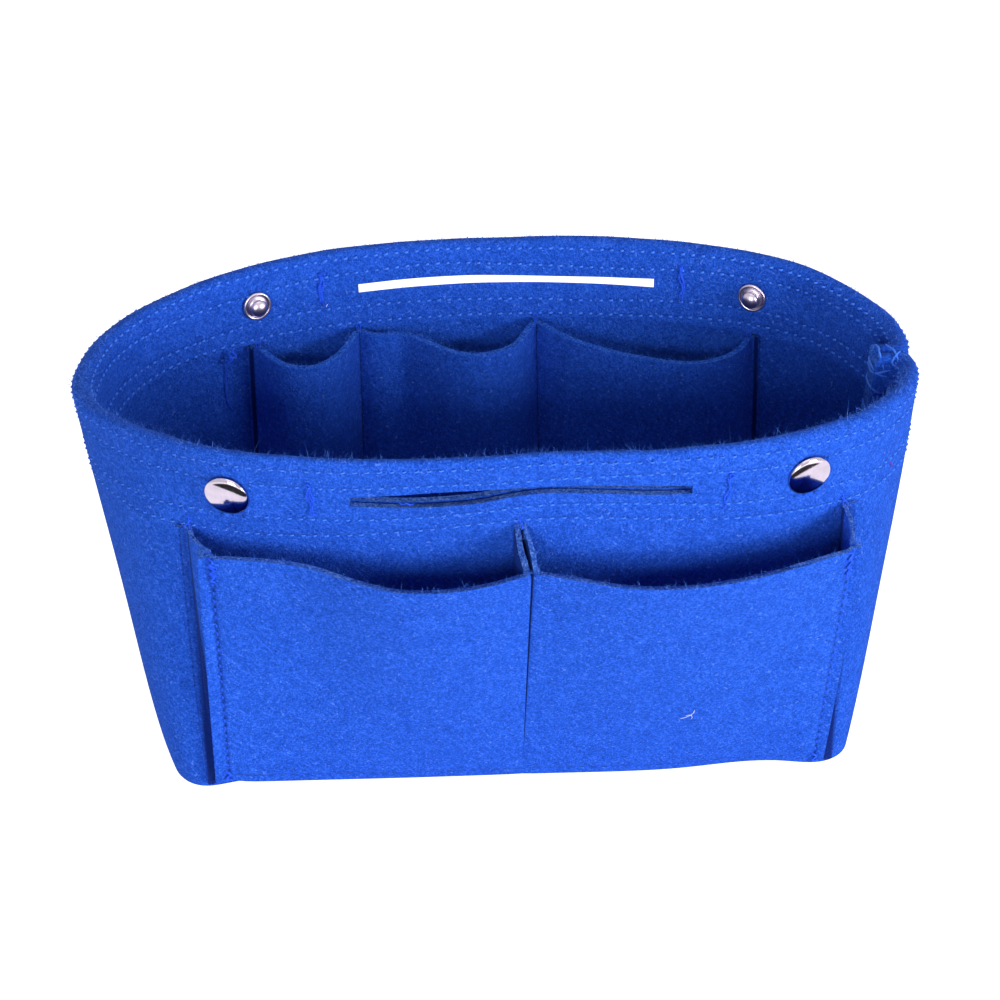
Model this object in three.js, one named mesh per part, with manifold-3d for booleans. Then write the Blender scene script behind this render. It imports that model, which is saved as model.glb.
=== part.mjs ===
// A felt cosmetic bag: an open-topped organiser of thick pressed felt that stands by itself.
// One strip of felt is wrapped round a base panel and sewn into a fin at the right end.
// Its upper edge is folded in as a deep hem, cut through by a handle slot in front and behind,
// pocket strips are sewn on three faces, and two pairs of press studs close the mouth.
// Millimetres, +Z up. The front faces -Y and the seam end is at +X.

import * as THREE from "three";
import { mergeVertices } from "three/addons/utils/BufferGeometryUtils.js";
import Module from "manifold-3d";

// Body: overall sizes are taken over the outside of the felt
const MOUTH_LENGTH = 280;
const MOUTH_DEPTH = 163;
const MOUTH_SQUARENESS = 2.2; // superellipse exponent, 2 is an ellipse
const BASE_LENGTH = 235;
const BASE_DEPTH = 110;
const BASE_SQUARENESS = 9;
const HEIGHT = 138; // at the middle of the front and back
const END_DIP = 9; // how much lower the rim runs at the two ends
const END_DIP_POWER = 2.5; // how much of the dip gathers near the ends
const END_BOW = 2.5; // outward belly of the two ends at half height
const END_BOW_POWER = 4; // how much of the belly gathers near the ends
const FELT = 3; // thickness of every felt layer
const SEWN_GAP = 0.3; // clearance between two layers that are sewn together

// Hem, base lip and end seam
const HEM_DEPTH = 28.5; // from the rim down
const LIP_HEIGHT = 10; // upturned seam edge of the base panel
const FIN_DEPTH = 6; // how far the end seam stands in beyond the band

// The slots, studs and pockets are centred this much towards the seam end
const FITTINGS_SHIFT = 3.5;

// Handle slots
const SLOT_LENGTH = 106;
const SLOT_GAPE = 5;
const SLOT_DROP = 14.7; // from the rim to the slot's middle

// Pocket strips, heights measured down from the rim
const STRIP_DROP = 30;
const FLANGE_WIDTH = 5; // sewn edge beside the outermost fold
const OUTER_HALF_WIDTH = 102.5; // from the middle pleat to the fold at the wall
const CORNER_INSET = 4; // how far the front corner leans in from the fold at the top
const CORNER_DEPTH = 12; // stand-off of the panel at its outer corners, at the top
const PLEAT_DEPTH = 17; // the same at the middle pleat
const PANEL_BOW = 5.5; // extra belly of each panel
const PLEAT_SLIT = 1; // gap between the two panels at the pleat
const PLEAT_BOW = 1.6; // how far each side of the pleat bows open
const FOOT_DEPTH = 0.6; // stand-off of the panel at its foot, where the gussets are pressed flat
const FOLD_WIDE = 0.9; // rounding of a fold's outside, in felt thicknesses
const FOLD_TIGHT = 0.1; // and of its inside
const FOLD_ROOM = 0.35; // the most of a neighbouring stretch that the rounding takes
const INNER_FOLDS = [-90.3, -53.5, 11.2, 88.9]; // where the inner strip is sewn down
const INNER_BOWS = [19, 19, 24]; // belly of the three inner pockets at the top

// Press studs
const SNAP_INSET = 50; // from the mouth's ends
const SNAP_DROP = 15;
const SNAP_SEAT = 0.5; // clearance of a metal flange over the curved felt
const CAP_DIAMETER = 15;
const CAP_HEIGHT = 3.2;
const CAP_POST_DIAMETER = 4;
const SOCKET_DIAMETER = 12.5;
const SOCKET_HEIGHT = 4.4;
const STUD_DIAMETER = 11.5;
const STUD_RIM = 1.2; // thickness of its rolled rim
const STUD_HEIGHT = 4.6;
const NECK_DIAMETER = 4.4;
const BALL_DIAMETER = 6;
const BALL_FLATNESS = 0.55; // height of the ball over its diameter
const EYELET_DIAMETER = 11;
const EYELET_BORE = 2.6;
const SHEET_METAL = 0.5;
const SPRING_WIRE = 0.7;
const SPRING_SPLIT = 0.35; // radians left open
const METAL_GAP = 0.3; // clearance between two metal pieces
const HOLE_CLEARANCE = 0.3; // round a post, on the radius

// Mesh fineness
const AROUND = 76; // facets round the body, a multiple of 4
const WALL_ROWS = 4; // above the base panel's lip
const RIM_STEPS = 4;
const STRIP_ROWS = 6;
const PANEL_STEPS = 9;
const FOLD_STEPS = 3;
const BULGE_STEPS = 4;
const LATHE_SEGMENTS = 18;

const wasm = await Module();
wasm.setup();

const feltBlue = new THREE.MeshStandardMaterial({ color: 0x1450d2, roughness: 0.95, metalness: 0 });
const nickel = new THREE.MeshStandardMaterial({ color: 0xc9c6cc, roughness: 0.16, metalness: 1 });
const springSteel = new THREE.MeshStandardMaterial({ color: 0x9a9a9c, roughness: 0.3, metalness: 1 });

// Outlines seen from above

// A superellipse quadrant from (a, 0) to (0, b), walked by its length so that points spread evenly.
function quadrant(a, b, squareness) {
  const steps = 400;
  const points = [];
  for (let i = 0; i <= steps; i++) {
    // an even walk of the polar angle meets the tight corner as well as the flat sides
    const angle = (i / steps) * (Math.PI / 2);
    const c = Math.cos(angle);
    const s = Math.sin(angle);
    const radius = (Math.abs(c / a) ** squareness + Math.abs(s / b) ** squareness) ** (-1 / squareness);
    points.push(new THREE.Vector2(radius * c, radius * s));
  }
  const lengths = [0];
  for (let i = 1; i <= steps; i++) lengths.push(lengths[i - 1] + points[i].distanceTo(points[i - 1]));
  const total = lengths[steps];
  const at = (share) => {
    const wanted = THREE.MathUtils.clamp(share, 0, 1) * total;
    let i = 1;
    while (i < steps && lengths[i] < wanted) i++;
    const t = (wanted - lengths[i - 1]) / (lengths[i] - lengths[i - 1]);
    return points[i - 1].clone().lerp(points[i], t);
  };
  return { at, total };
}

const mouthQuadrant = quadrant(MOUTH_LENGTH / 2, MOUTH_DEPTH / 2, MOUTH_SQUARENESS);
const baseQuadrant = quadrant(BASE_LENGTH / 2, BASE_DEPTH / 2, BASE_SQUARENESS);

// A point of a whole outline: turn runs from 0 at +X anticlockwise to 1.
function outlineAt(curve, turn) {
  const quarter = (((turn % 1) + 1) % 1) * 4;
  const index = Math.floor(quarter);
  const share = quarter - index;
  const p = curve.at(index % 2 === 0 ? share : 1 - share);
  return new THREE.Vector2(index === 1 || index === 2 ? -p.x : p.x, index >= 2 ? -p.y : p.y);
}

const rimHeight = (x) => HEIGHT - END_DIP * Math.abs(x / (MOUTH_LENGTH / 2)) ** END_DIP_POWER;

// The wall's outside, with straight rulings from base to rim: rise is 0 at the bottom and 1 at the rim.
function wallPoint(turn, rise) {
  const mouth = outlineAt(mouthQuadrant, turn);
  const base = outlineAt(baseQuadrant, turn);
  const p = base.lerp(mouth, rise);
  const endness = Math.abs(mouth.x / (MOUTH_LENGTH / 2)) ** END_BOW_POWER;
  p.x += Math.sign(mouth.x) * END_BOW * 4 * rise * (1 - rise) * endness;
  return new THREE.Vector3(p.x, p.y, rise * rimHeight(mouth.x));
}

// The wall's outward direction in plan.
function wallNormal(turn, rise) {
  const step = 1e-3;
  const before = wallPoint(turn - step, rise);
  const after = wallPoint(turn + step, rise);
  return new THREE.Vector3(after.y - before.y, before.x - after.x, 0).normalize();
}

// A point off the wall, out by a distance along its plan normal.
function offWall(turn, rise, out) {
  return wallPoint(turn, rise).addScaledVector(wallNormal(turn, rise), out);
}

// The turn at which the wall has a given x, on the front or the back.
function turnAt(x, rise, front) {
  let low = front ? 0.5 : 0;
  let high = front ? 1 : 0.5;
  for (let i = 0; i < 40; i++) {
    const middle = (low + high) / 2;
    const tooFarLeft = wallPoint(middle, rise).x < x;
    if (tooFarLeft === front) low = middle;
    else high = middle;
  }
  return (low + high) / 2;
}

const stripRise = 1 - STRIP_DROP / HEIGHT;
const lipRise = LIP_HEIGHT / HEIGHT;
const aboveLipRise = lipRise + (2 * SEWN_GAP) / HEIGHT;
const layersThickness = 2 * FELT + SEWN_GAP; // of wall and hem, or of the end seam
const innerFace = -FELT; // of the wall, measured out from its outside

// Solids

// Closes two grids of points, outer[row][column] and inner[row][column], into one solid sheet.
// Rows go up and columns go anticlockwise seen from above, so the outer grid faces right of its path.
function sheetGeometry(outer, inner, ring) {
  const rows = outer.length;
  const columns = outer[0].length;
  const positions = [];
  for (const grid of [outer, inner]) {
    for (const row of grid) for (const p of row) positions.push(p.x, p.y, p.z);
  }
  const o = (r, c) => r * columns + (c % columns);
  const i = (r, c) => rows * columns + o(r, c);
  const index = [];
  const quad = (a, b, c, d) => index.push(a, b, c, a, c, d);
  const last = ring ? columns : columns - 1;
  for (let c = 0; c < last; c++) {
    for (let r = 0; r < rows - 1; r++) {
      quad(o(r, c), o(r, c + 1), o(r + 1, c + 1), o(r + 1, c));
      quad(i(r, c), i(r + 1, c), i(r + 1, c + 1), i(r, c + 1));
    }
    quad(o(rows - 1, c), o(rows - 1, c + 1), i(rows - 1, c + 1), i(rows - 1, c));
    quad(o(0, c + 1), o(0, c), i(0, c), i(0, c + 1));
  }
  if (!ring) {
    const end = columns - 1;
    for (let r = 0; r < rows - 1; r++) {
      quad(o(r, 0), o(r + 1, 0), i(r + 1, 0), i(r, 0));
      quad(o(r + 1, end), o(r, end), i(r, end), i(r + 1, end));
    }
  }
  const geometry = new THREE.BufferGeometry();
  geometry.setAttribute("position", new THREE.Float32BufferAttribute(positions, 3));
  geometry.setIndex(index);
  geometry.computeVertexNormals();
  return geometry;
}

function toManifold(geometry) {
  const bare = geometry.clone();
  bare.deleteAttribute("normal");
  bare.deleteAttribute("uv");
  const merged = mergeVertices(bare, 1e-4);
  const vertProperties = new Float32Array(merged.attributes.position.array);
  const triVerts = new Uint32Array(merged.index.array);
  return new wasm.Manifold(new wasm.Mesh({ numProp: 3, vertProperties, triVerts }));
}

function toGeometry(solid) {
  const mesh = solid.getMesh();
  const geometry = new THREE.BufferGeometry();
  geometry.setAttribute("position", new THREE.BufferAttribute(mesh.vertProperties, 3));
  geometry.setIndex(new THREE.BufferAttribute(mesh.triVerts, 1));
  geometry.computeVertexNormals();
  return geometry;
}

const range = (count, low, high) =>
  Array.from({ length: count + 1 }, (_, i) => low + ((high - low) * i) / count);

// Press stud places: a frame on the wall with z along the outward normal

function snapFrame(x, front) {
  const rise = 1 - SNAP_DROP / HEIGHT;
  const turn = turnAt(x, rise, front);
  const origin = wallPoint(turn, rise);
  const along = wallPoint(turn + 1e-3, rise).sub(wallPoint(turn - 1e-3, rise));
  const up = wallPoint(turn, rise + 1e-3).sub(wallPoint(turn, rise - 1e-3));
  const outward = along.cross(up).normalize();
  const quaternion = new THREE.Quaternion().setFromUnitVectors(new THREE.Vector3(0, 0, 1), outward);
  return { origin, quaternion };
}

const snapFrames = [
  ["left", SNAP_INSET - MOUTH_LENGTH / 2],
  ["right", MOUTH_LENGTH / 2 - SNAP_INSET],
].map(([side, x]) => ({
  side,
  front: snapFrame(FITTINGS_SHIFT + x, true),
  back: snapFrame(FITTINGS_SHIFT + x, false),
}));

const eyeletBarrelRadius = EYELET_BORE / 2 + SHEET_METAL;

// A round cutter through both felt layers at a stud.
function holeCutter(frame, radius) {
  const reach = 3 * layersThickness;
  const cylinder = new THREE.CylinderGeometry(radius, radius, reach, LATHE_SEGMENTS);
  cylinder.rotateX(Math.PI / 2);
  cylinder.translate(0, 0, -layersThickness / 2);
  cylinder.applyQuaternion(frame.quaternion);
  cylinder.translate(frame.origin.x, frame.origin.y, frame.origin.z);
  return toManifold(cylinder);
}

// A straight cutter for the square-ended handle slots, in the front and the back at once.
function slotCutter() {
  const slot = new THREE.BoxGeometry(SLOT_LENGTH, MOUTH_DEPTH + 4 * FELT, SLOT_GAPE);
  slot.translate(FITTINGS_SHIFT, 0, HEIGHT - SLOT_DROP);
  return toManifold(slot);
}

function cutFittings(solid) {
  let cut = solid.subtract(slotCutter());
  for (const { front, back } of snapFrames) {
    cut = cut.subtract(holeCutter(front, CAP_POST_DIAMETER / 2 + HOLE_CLEARANCE));
    cut = cut.subtract(holeCutter(back, eyeletBarrelRadius + HOLE_CLEARANCE));
  }
  return cut;
}

// Body wrap: a ring of felt with its hem folded in and the end seam's fin on its inside

const ringTurns = range(AROUND, 0, 1).slice(0, AROUND);
const foldRadius = layersThickness / 2;
const foldRise = 1 - foldRadius / HEIGHT;

// One face of the wrap's section: up the wall, round the rim at a radius and down the hem.
function wrapFace(radius) {
  const wall = [0, ...range(WALL_ROWS, lipRise, foldRise)].map((rise) => [rise, radius - foldRadius]);
  const rim = range(RIM_STEPS, 0, Math.PI)
    .slice(1, -1)
    .map((angle) => [foldRise + (radius * Math.sin(angle)) / HEIGHT, radius * Math.cos(angle) - foldRadius]);
  const hem = [foldRise, 1 - HEM_DEPTH / HEIGHT].map((rise) => [rise, -radius - foldRadius]);
  return [...wall, ...rim, ...hem].map(([rise, out]) => ringTurns.map((turn) => offWall(turn, rise, out)));
}

// The fin is the strip's two ends, turned in and sewn face to face, with a rounded top.
function finGeometry() {
  const rises = range(6, aboveLipRise, foldRise);
  const sunk = rises.map((rise) => offWall(0, rise, innerFace / 2));
  const edge = rises.map((rise) => offWall(0, rise, -layersThickness - FIN_DEPTH));
  const crest = offWall(0, 1, -foldRadius);
  const tip = edge[edge.length - 1];
  const rounding = FIN_DEPTH / 2;
  const shape = new THREE.Shape();
  shape.moveTo(sunk[0].x, sunk[0].z);
  for (const p of sunk.slice(1)) shape.lineTo(p.x, p.z);
  shape.lineTo(crest.x, crest.z - SEWN_GAP);
  shape.lineTo(tip.x + rounding, crest.z - SEWN_GAP);
  shape.quadraticCurveTo(tip.x, crest.z - SEWN_GAP, tip.x, tip.z);
  for (const p of edge.slice(0, -1).reverse()) shape.lineTo(p.x, p.z);
  shape.closePath();
  const fin = new THREE.ExtrudeGeometry(shape, { depth: layersThickness, bevelEnabled: false, curveSegments: 5 });
  fin.rotateX(Math.PI / 2);
  fin.translate(0, layersThickness / 2, 0);
  return fin;
}

function bodyWrap() {
  const ring = toManifold(sheetGeometry(wrapFace(foldRadius), wrapFace(SEWN_GAP / 2), true));
  return toGeometry(cutFittings(ring.add(toManifold(finGeometry()))));
}

// Base panel: a flat floor whose edge is turned up inside the wall and sewn through it

function basePanel() {
  const face = innerFace - SEWN_GAP;
  const floorRise = FELT / HEIGHT;
  const outerRises = [0, lipRise];
  const innerRises = [lipRise, floorRise];
  const rings = [
    ...outerRises.map((rise) => ringTurns.map((turn) => offWall(turn, rise, face))),
    ...innerRises.map((rise) => ringTurns.map((turn) => offWall(turn, rise, face - FELT))),
  ];
  const positions = rings.flat().flatMap((p) => [p.x, p.y, p.z]);
  positions.push(0, 0, 0, 0, 0, FELT);
  const underside = rings.length * AROUND;
  const floor = underside + 1;
  // the floor's ring is level, so that it stays flat where the rim dips
  for (let c = 0; c < AROUND; c++) positions[((rings.length - 1) * AROUND + c) * 3 + 2] = FELT;
  const index = [];
  for (let c = 0; c < AROUND; c++) {
    const next = (c + 1) % AROUND;
    for (let r = 0; r < rings.length - 1; r++) {
      const a = r * AROUND;
      const b = a + AROUND;
      index.push(a + c, a + next, b + next, a + c, b + next, b + c);
    }
    const lastRing = (rings.length - 1) * AROUND;
    index.push(next, c, underside, lastRing + c, lastRing + next, floor);
  }
  const geometry = new THREE.BufferGeometry();
  geometry.setAttribute("position", new THREE.Float32BufferAttribute(positions, 3));
  geometry.setIndex(index);
  geometry.computeVertexNormals();
  return geometry;
}

// Pocket strips: one ribbon of felt each, followed level by level as a path seen from above.
// A path is a list of { p, fold, bulge }: fold marks a corner, and bulge, a vector, bows the stretch after it.

// Moves a path to its right by a distance, with mitred corners.
function offsetPath(path, distance) {
  const normals = path.slice(1).map(({ p }, i) => {
    const d = p.clone().sub(path[i].p).setZ(0).normalize();
    return new THREE.Vector3(d.y, -d.x, 0);
  });
  return path.map(({ p, ...marks }, i) => {
    const before = normals[Math.max(i - 1, 0)];
    const after = normals[Math.min(i, normals.length - 1)];
    const mitre = before.clone().add(after).divideScalar(1 + before.dot(after));
    return { p: p.clone().addScaledVector(mitre, distance), ...marks };
  });
}

// Puts points into the stretches that bow out.
function bowStretches(path) {
  return path.flatMap((point, i) => {
    if (!point.bulge) return [point];
    const between = range(BULGE_STEPS, 0, 1).slice(1, -1);
    const bowed = between.map((share) => ({
      p: point.p.clone().lerp(path[i + 1].p, share).addScaledVector(point.bulge, Math.sin(Math.PI * share)),
    }));
    return [point, ...bowed];
  });
}

// Rounds the folds of one face of the felt: wide on the outside of the turn and tight on its inside.
function roundFolds(path, side, openness) {
  return path.flatMap(({ p, fold }, i) => {
    if (!fold) return [p];
    const before = path[i - 1].p.clone().sub(p);
    const after = path[i + 1].p.clone().sub(p);
    const turnsRight = before.x * after.y - before.y * after.x > 0;
    const reach = FELT * (turnsRight === side > 0 ? FOLD_TIGHT : FOLD_WIDE);
    const room = FOLD_ROOM * Math.min(before.length(), after.length());
    const radius = Math.min(reach, room) * openness;
    const start = p.clone().addScaledVector(before.normalize(), radius);
    const end = p.clone().addScaledVector(after.normalize(), radius);
    return new THREE.QuadraticBezierCurve3(start, p, end).getPoints(FOLD_STEPS);
  });
}

// A ribbon from its middle line at each level; openness is 0 at the sewn foot and 1 at the open top.
function ribbonGeometry(pathAt, rises) {
  const foot = rises[0];
  const faces = [FELT / 2, -FELT / 2].map((distance) =>
    rises.map((rise) => {
      const openness = (rise - foot) / (stripRise - foot);
      return roundFolds(bowStretches(offsetPath(pathAt(rise, openness), distance)), distance, openness);
    }),
  );
  return sheetGeometry(faces[0], faces[1], false);
}

// A felt panel that leans away from the wall keeps its length, so its edge comes down a little.
function leaningHeight(wall, foot, standOff) {
  const run = Math.abs(wall.y - foot.y);
  const slant = Math.hypot(wall.z, run);
  return Math.sqrt(slant ** 2 - (run + standOff) ** 2);
}

// Outside strip, described on the front: flange, gusset, panel, pleat, and the same again mirrored.
function outerStripPath(rise, openness) {
  const place = (x, standOff) => {
    const turn = turnAt(FITTINGS_SHIFT + x, rise, true);
    const p = offWall(turn, rise, SEWN_GAP + FELT / 2);
    p.z = rise === 0 ? 0 : leaningHeight(wallPoint(turn, rise), wallPoint(turn, 0), standOff);
    p.y -= standOff;
    return p;
  };
  const standOff = (depth) => FOOT_DEPTH + (depth - FOOT_DEPTH) * openness;
  const corner = OUTER_HALF_WIDTH - CORNER_INSET * openness;
  const slit = (PLEAT_SLIT + FELT) / 2;
  // from the flange's edge to the wall end of the gusset, then the panel from its corner to the pleat
  const half = [
    { x: OUTER_HALF_WIDTH + FLANGE_WIDTH, depth: 0 },
    { x: OUTER_HALF_WIDTH + FLANGE_WIDTH / 2, depth: 0 },
    { x: OUTER_HALF_WIDTH, depth: 0, fold: true },
  ];
  for (const share of range(PANEL_STEPS, 0, 1)) {
    const depth = CORNER_DEPTH + (PLEAT_DEPTH - CORNER_DEPTH) * share + PANEL_BOW * Math.sin(Math.PI * share);
    half.push({
      x: corner + (slit - corner) * share,
      depth: standOff(depth),
      fold: share === 0 || share === 1,
    });
  }
  half.push({ x: slit, depth: 0, fold: true });
  const bulge = new THREE.Vector3(PLEAT_BOW * openness, 0, 0);
  const left = half.map(({ x, depth, fold }) => ({ p: place(-x, depth), fold }));
  const right = half.map(({ x, depth, fold }) => ({ p: place(x, depth), fold })).reverse();
  left[left.length - 2].bulge = bulge.clone().negate();
  right[0].bulge = bulge;
  return [...left, ...right];
}

// Inside strip on the back wall, from right to left: flanges at both ends and three bellied pockets.
function innerStripPath(rise, openness) {
  const place = (x, belly) => {
    const turn = turnAt(FITTINGS_SHIFT + x, rise, false);
    const p = offWall(turn, rise, innerFace - SEWN_GAP - FELT / 2);
    p.y -= belly;
    return p;
  };
  const last = INNER_FOLDS.length - 1;
  const path = [{ p: place(INNER_FOLDS[last] + FLANGE_WIDTH, 0) }];
  for (let pocket = last - 1; pocket >= 0; pocket--) {
    const right = INNER_FOLDS[pocket + 1];
    const left = INNER_FOLDS[pocket];
    path.push({ p: place(right, 0), fold: true });
    for (const share of range(PANEL_STEPS, 0, 1).slice(1, -1)) {
      const belly = INNER_BOWS[pocket] * Math.sqrt(openness) * Math.sin(Math.PI * share);
      path.push({ p: place(right + (left - right) * share, belly) });
    }
  }
  path.push({ p: place(INNER_FOLDS[0], 0), fold: true });
  path.push({ p: place(INNER_FOLDS[0] - FLANGE_WIDTH, 0) });
  return path;
}

const outerStripRises = range(STRIP_ROWS, 0, stripRise);
const innerStripRises = range(STRIP_ROWS, aboveLipRise, stripRise);

// Press studs, each profile given as radius and height off the felt it sits on

function lathe(profile) {
  const points = profile.map(([r, z]) => new THREE.Vector2(r, z));
  const geometry = new THREE.LatheGeometry(points, LATHE_SEGMENTS);
  geometry.rotateX(Math.PI / 2);
  return geometry;
}

// Domed cap with a rolled edge, on a post that runs through both layers into the socket.
function capGeometry() {
  const r = CAP_DIAMETER / 2;
  const post = CAP_POST_DIAMETER / 2;
  const edge = SNAP_SEAT + 2 * SHEET_METAL;
  const dome = range(8, 0, 1).map((share) => {
    const angle = (share * Math.PI) / 2;
    const height = edge + (CAP_HEIGHT - edge + SNAP_SEAT) * Math.sin(angle);
    return [r * Math.cos(angle), height];
  });
  dome[dome.length - 1][0] = 0;
  return lathe([
    [0, -layersThickness - SNAP_SEAT - SHEET_METAL],
    [post, -layersThickness - SNAP_SEAT - SHEET_METAL],
    [post, SNAP_SEAT],
    [r - SHEET_METAL, SNAP_SEAT],
    ...dome,
  ]);
}

// Socket: a stepped cup on the inside of the front, with a groove for its spring.
const springHeight = SNAP_SEAT + SOCKET_HEIGHT / 2 + SPRING_WIRE / 2;
const springRadius = BALL_DIAMETER / 2 + SPRING_WIRE / 2; // the cup's bore is as wide as its middle line

function socketGeometry() {
  const r = SOCKET_DIAMETER / 2;
  const back = CAP_POST_DIAMETER / 2 + METAL_GAP;
  const groove = springRadius + SPRING_WIRE / 2 + METAL_GAP;
  const grooveHalf = SPRING_WIRE / 2 + METAL_GAP;
  const cup = groove + SHEET_METAL;
  return lathe([
    [back, SNAP_SEAT],
    [r - SHEET_METAL, SNAP_SEAT],
    [r, SNAP_SEAT + SHEET_METAL],
    [r, SNAP_SEAT + 2 * SHEET_METAL],
    [r - SHEET_METAL, SNAP_SEAT + 3 * SHEET_METAL],
    [cup + SHEET_METAL, SNAP_SEAT + 3 * SHEET_METAL],
    [cup, SNAP_SEAT + 4 * SHEET_METAL],
    [cup, SNAP_SEAT + SOCKET_HEIGHT - SHEET_METAL],
    [cup - SHEET_METAL, SNAP_SEAT + SOCKET_HEIGHT],
    [springRadius, SNAP_SEAT + SOCKET_HEIGHT - SHEET_METAL],
    [springRadius, springHeight + grooveHalf],
    [groove, springHeight + grooveHalf],
    [groove, springHeight - grooveHalf],
    [springRadius, springHeight - grooveHalf],
    [springRadius, SNAP_SEAT + 2 * SHEET_METAL],
    [back, SNAP_SEAT + 2 * SHEET_METAL],
    [back, SNAP_SEAT],
  ]);
}

// Spring: a split ring of round wire that snaps over the stud's ball.
function springGeometry() {
  const section = new THREE.Shape();
  section.absarc(0, 0, SPRING_WIRE / 2, 0, 2 * Math.PI);
  const arc = new THREE.Curve();
  arc.getPoint = (t, target = new THREE.Vector3()) => {
    const angle = SPRING_SPLIT / 2 + t * (2 * Math.PI - SPRING_SPLIT);
    return target.set(springRadius * Math.cos(angle), springRadius * Math.sin(angle), springHeight);
  };
  return new THREE.ExtrudeGeometry(section, { extrudePath: arc, steps: 20, curveSegments: 3 });
}

// Stud: a flange with a rolled rim and a ball on a neck, on the inside of the back.
function studGeometry() {
  const r = STUD_DIAMETER / 2;
  const ball = BALL_DIAMETER / 2;
  const neck = NECK_DIAMETER / 2;
  const roll = STUD_RIM / 2;
  const ballHalfHeight = BALL_FLATNESS * ball;
  const ballMiddle = SNAP_SEAT + STUD_HEIGHT - ballHalfHeight;
  const rolledRim = range(6, -Math.PI / 2, Math.PI).map((angle) => [
    r - roll + roll * Math.cos(angle),
    SNAP_SEAT + roll + roll * Math.sin(angle),
  ]);
  const head = range(6, -Math.acos(neck / ball), Math.PI / 2).map((angle) => [
    ball * Math.cos(angle),
    ballMiddle + ballHalfHeight * Math.sin(angle),
  ]);
  head[head.length - 1][0] = 0;
  return lathe([
    [0, SNAP_SEAT],
    ...rolledRim,
    [r - 2 * roll, SNAP_SEAT + SHEET_METAL],
    [neck + SHEET_METAL, SNAP_SEAT + SHEET_METAL],
    [neck, SNAP_SEAT + 2 * SHEET_METAL],
    ...head,
  ]);
}

// Eyelet: a flange on the outside of the back whose barrel is clenched into the stud.
function eyeletGeometry() {
  const r = EYELET_DIAMETER / 2;
  const bore = EYELET_BORE / 2;
  const end = -layersThickness - SNAP_SEAT + METAL_GAP;
  return lathe([
    [bore, end],
    [eyeletBarrelRadius, end],
    [eyeletBarrelRadius, SNAP_SEAT],
    [r - SHEET_METAL, SNAP_SEAT],
    [r, SNAP_SEAT + SHEET_METAL],
    [r - SHEET_METAL, SNAP_SEAT + 2 * SHEET_METAL],
    [eyeletBarrelRadius + SHEET_METAL, SNAP_SEAT + 3 * SHEET_METAL],
    [bore + SHEET_METAL / 2, SNAP_SEAT + 3 * SHEET_METAL],
    [bore, SNAP_SEAT + 2 * SHEET_METAL],
    [bore, end],
  ]);
}

// Assembly

const bag = new THREE.Group();

function add(parent, name, geometry, material) {
  const mesh = new THREE.Mesh(geometry, material);
  mesh.name = name;
  parent.add(mesh);
  return mesh;
}

add(bag, "base_panel", basePanel(), feltBlue);
add(bag, "body_wrap", bodyWrap(), feltBlue);
add(bag, "front_pocket_strip", ribbonGeometry(outerStripPath, outerStripRises), feltBlue);
add(bag, "inner_pocket_strip", ribbonGeometry(innerStripPath, innerStripRises), feltBlue);

// The back strip is the front one's mirror image.
const backStrip = ribbonGeometry(outerStripPath, outerStripRises);
backStrip.scale(1, -1, 1);
backStrip.setIndex(Array.from(backStrip.index.array).reverse());
backStrip.computeVertexNormals();
add(bag, "back_pocket_strip", backStrip, feltBlue);

// A stud piece on the outside keeps the wall's frame; one on the inside is turned to face in.
function snapGroup(frame, inside) {
  const group = new THREE.Group();
  group.position.copy(frame.origin);
  group.quaternion.copy(frame.quaternion);
  bag.add(group);
  if (!inside) return group;
  const turned = new THREE.Group();
  turned.position.z = -layersThickness;
  turned.rotation.x = Math.PI;
  group.add(turned);
  return turned;
}

for (const { side, front, back } of snapFrames) {
  add(snapGroup(front, false), `snap_cap_${side}`, capGeometry(), nickel);
  const socketGroup = snapGroup(front, true);
  add(socketGroup, `snap_socket_${side}`, socketGeometry(), nickel);
  add(socketGroup, `socket_spring_${side}`, springGeometry(), springSteel);
  add(snapGroup(back, true), `snap_stud_${side}`, studGeometry(), nickel);
  add(snapGroup(back, false), `snap_eyelet_${side}`, eyeletGeometry(), nickel);
}

export default bag;
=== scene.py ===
"""Felt cosmetic bag: the visual model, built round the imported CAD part.

Lengths are millimetres in the CAD part's frame, with +Z up and the front at -Y, until a mesh is made.
"""

import math

import bmesh
import bpy
import numpy as np
from mathutils import Matrix, Vector


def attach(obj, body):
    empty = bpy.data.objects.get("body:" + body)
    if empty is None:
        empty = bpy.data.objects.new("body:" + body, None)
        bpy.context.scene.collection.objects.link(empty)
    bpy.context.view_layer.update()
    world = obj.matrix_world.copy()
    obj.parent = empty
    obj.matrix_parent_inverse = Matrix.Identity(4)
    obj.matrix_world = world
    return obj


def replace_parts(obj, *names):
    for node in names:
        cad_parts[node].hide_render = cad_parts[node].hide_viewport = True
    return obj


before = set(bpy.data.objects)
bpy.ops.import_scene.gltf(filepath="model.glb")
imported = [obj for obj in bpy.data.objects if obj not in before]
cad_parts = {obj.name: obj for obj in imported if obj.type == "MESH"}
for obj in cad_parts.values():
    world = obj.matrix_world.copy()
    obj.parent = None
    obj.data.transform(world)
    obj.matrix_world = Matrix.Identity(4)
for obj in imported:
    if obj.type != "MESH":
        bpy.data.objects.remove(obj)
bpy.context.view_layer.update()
random = np.random.default_rng(7)

# Body wrap
# One strip of 3 mm felt bent into the oval wall. Its top is folded in as a hem and sewn down, and its
# two ends turn in at the right as a fin. It is cut flat, hemmed, slotted and then closed at the fin.

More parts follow.
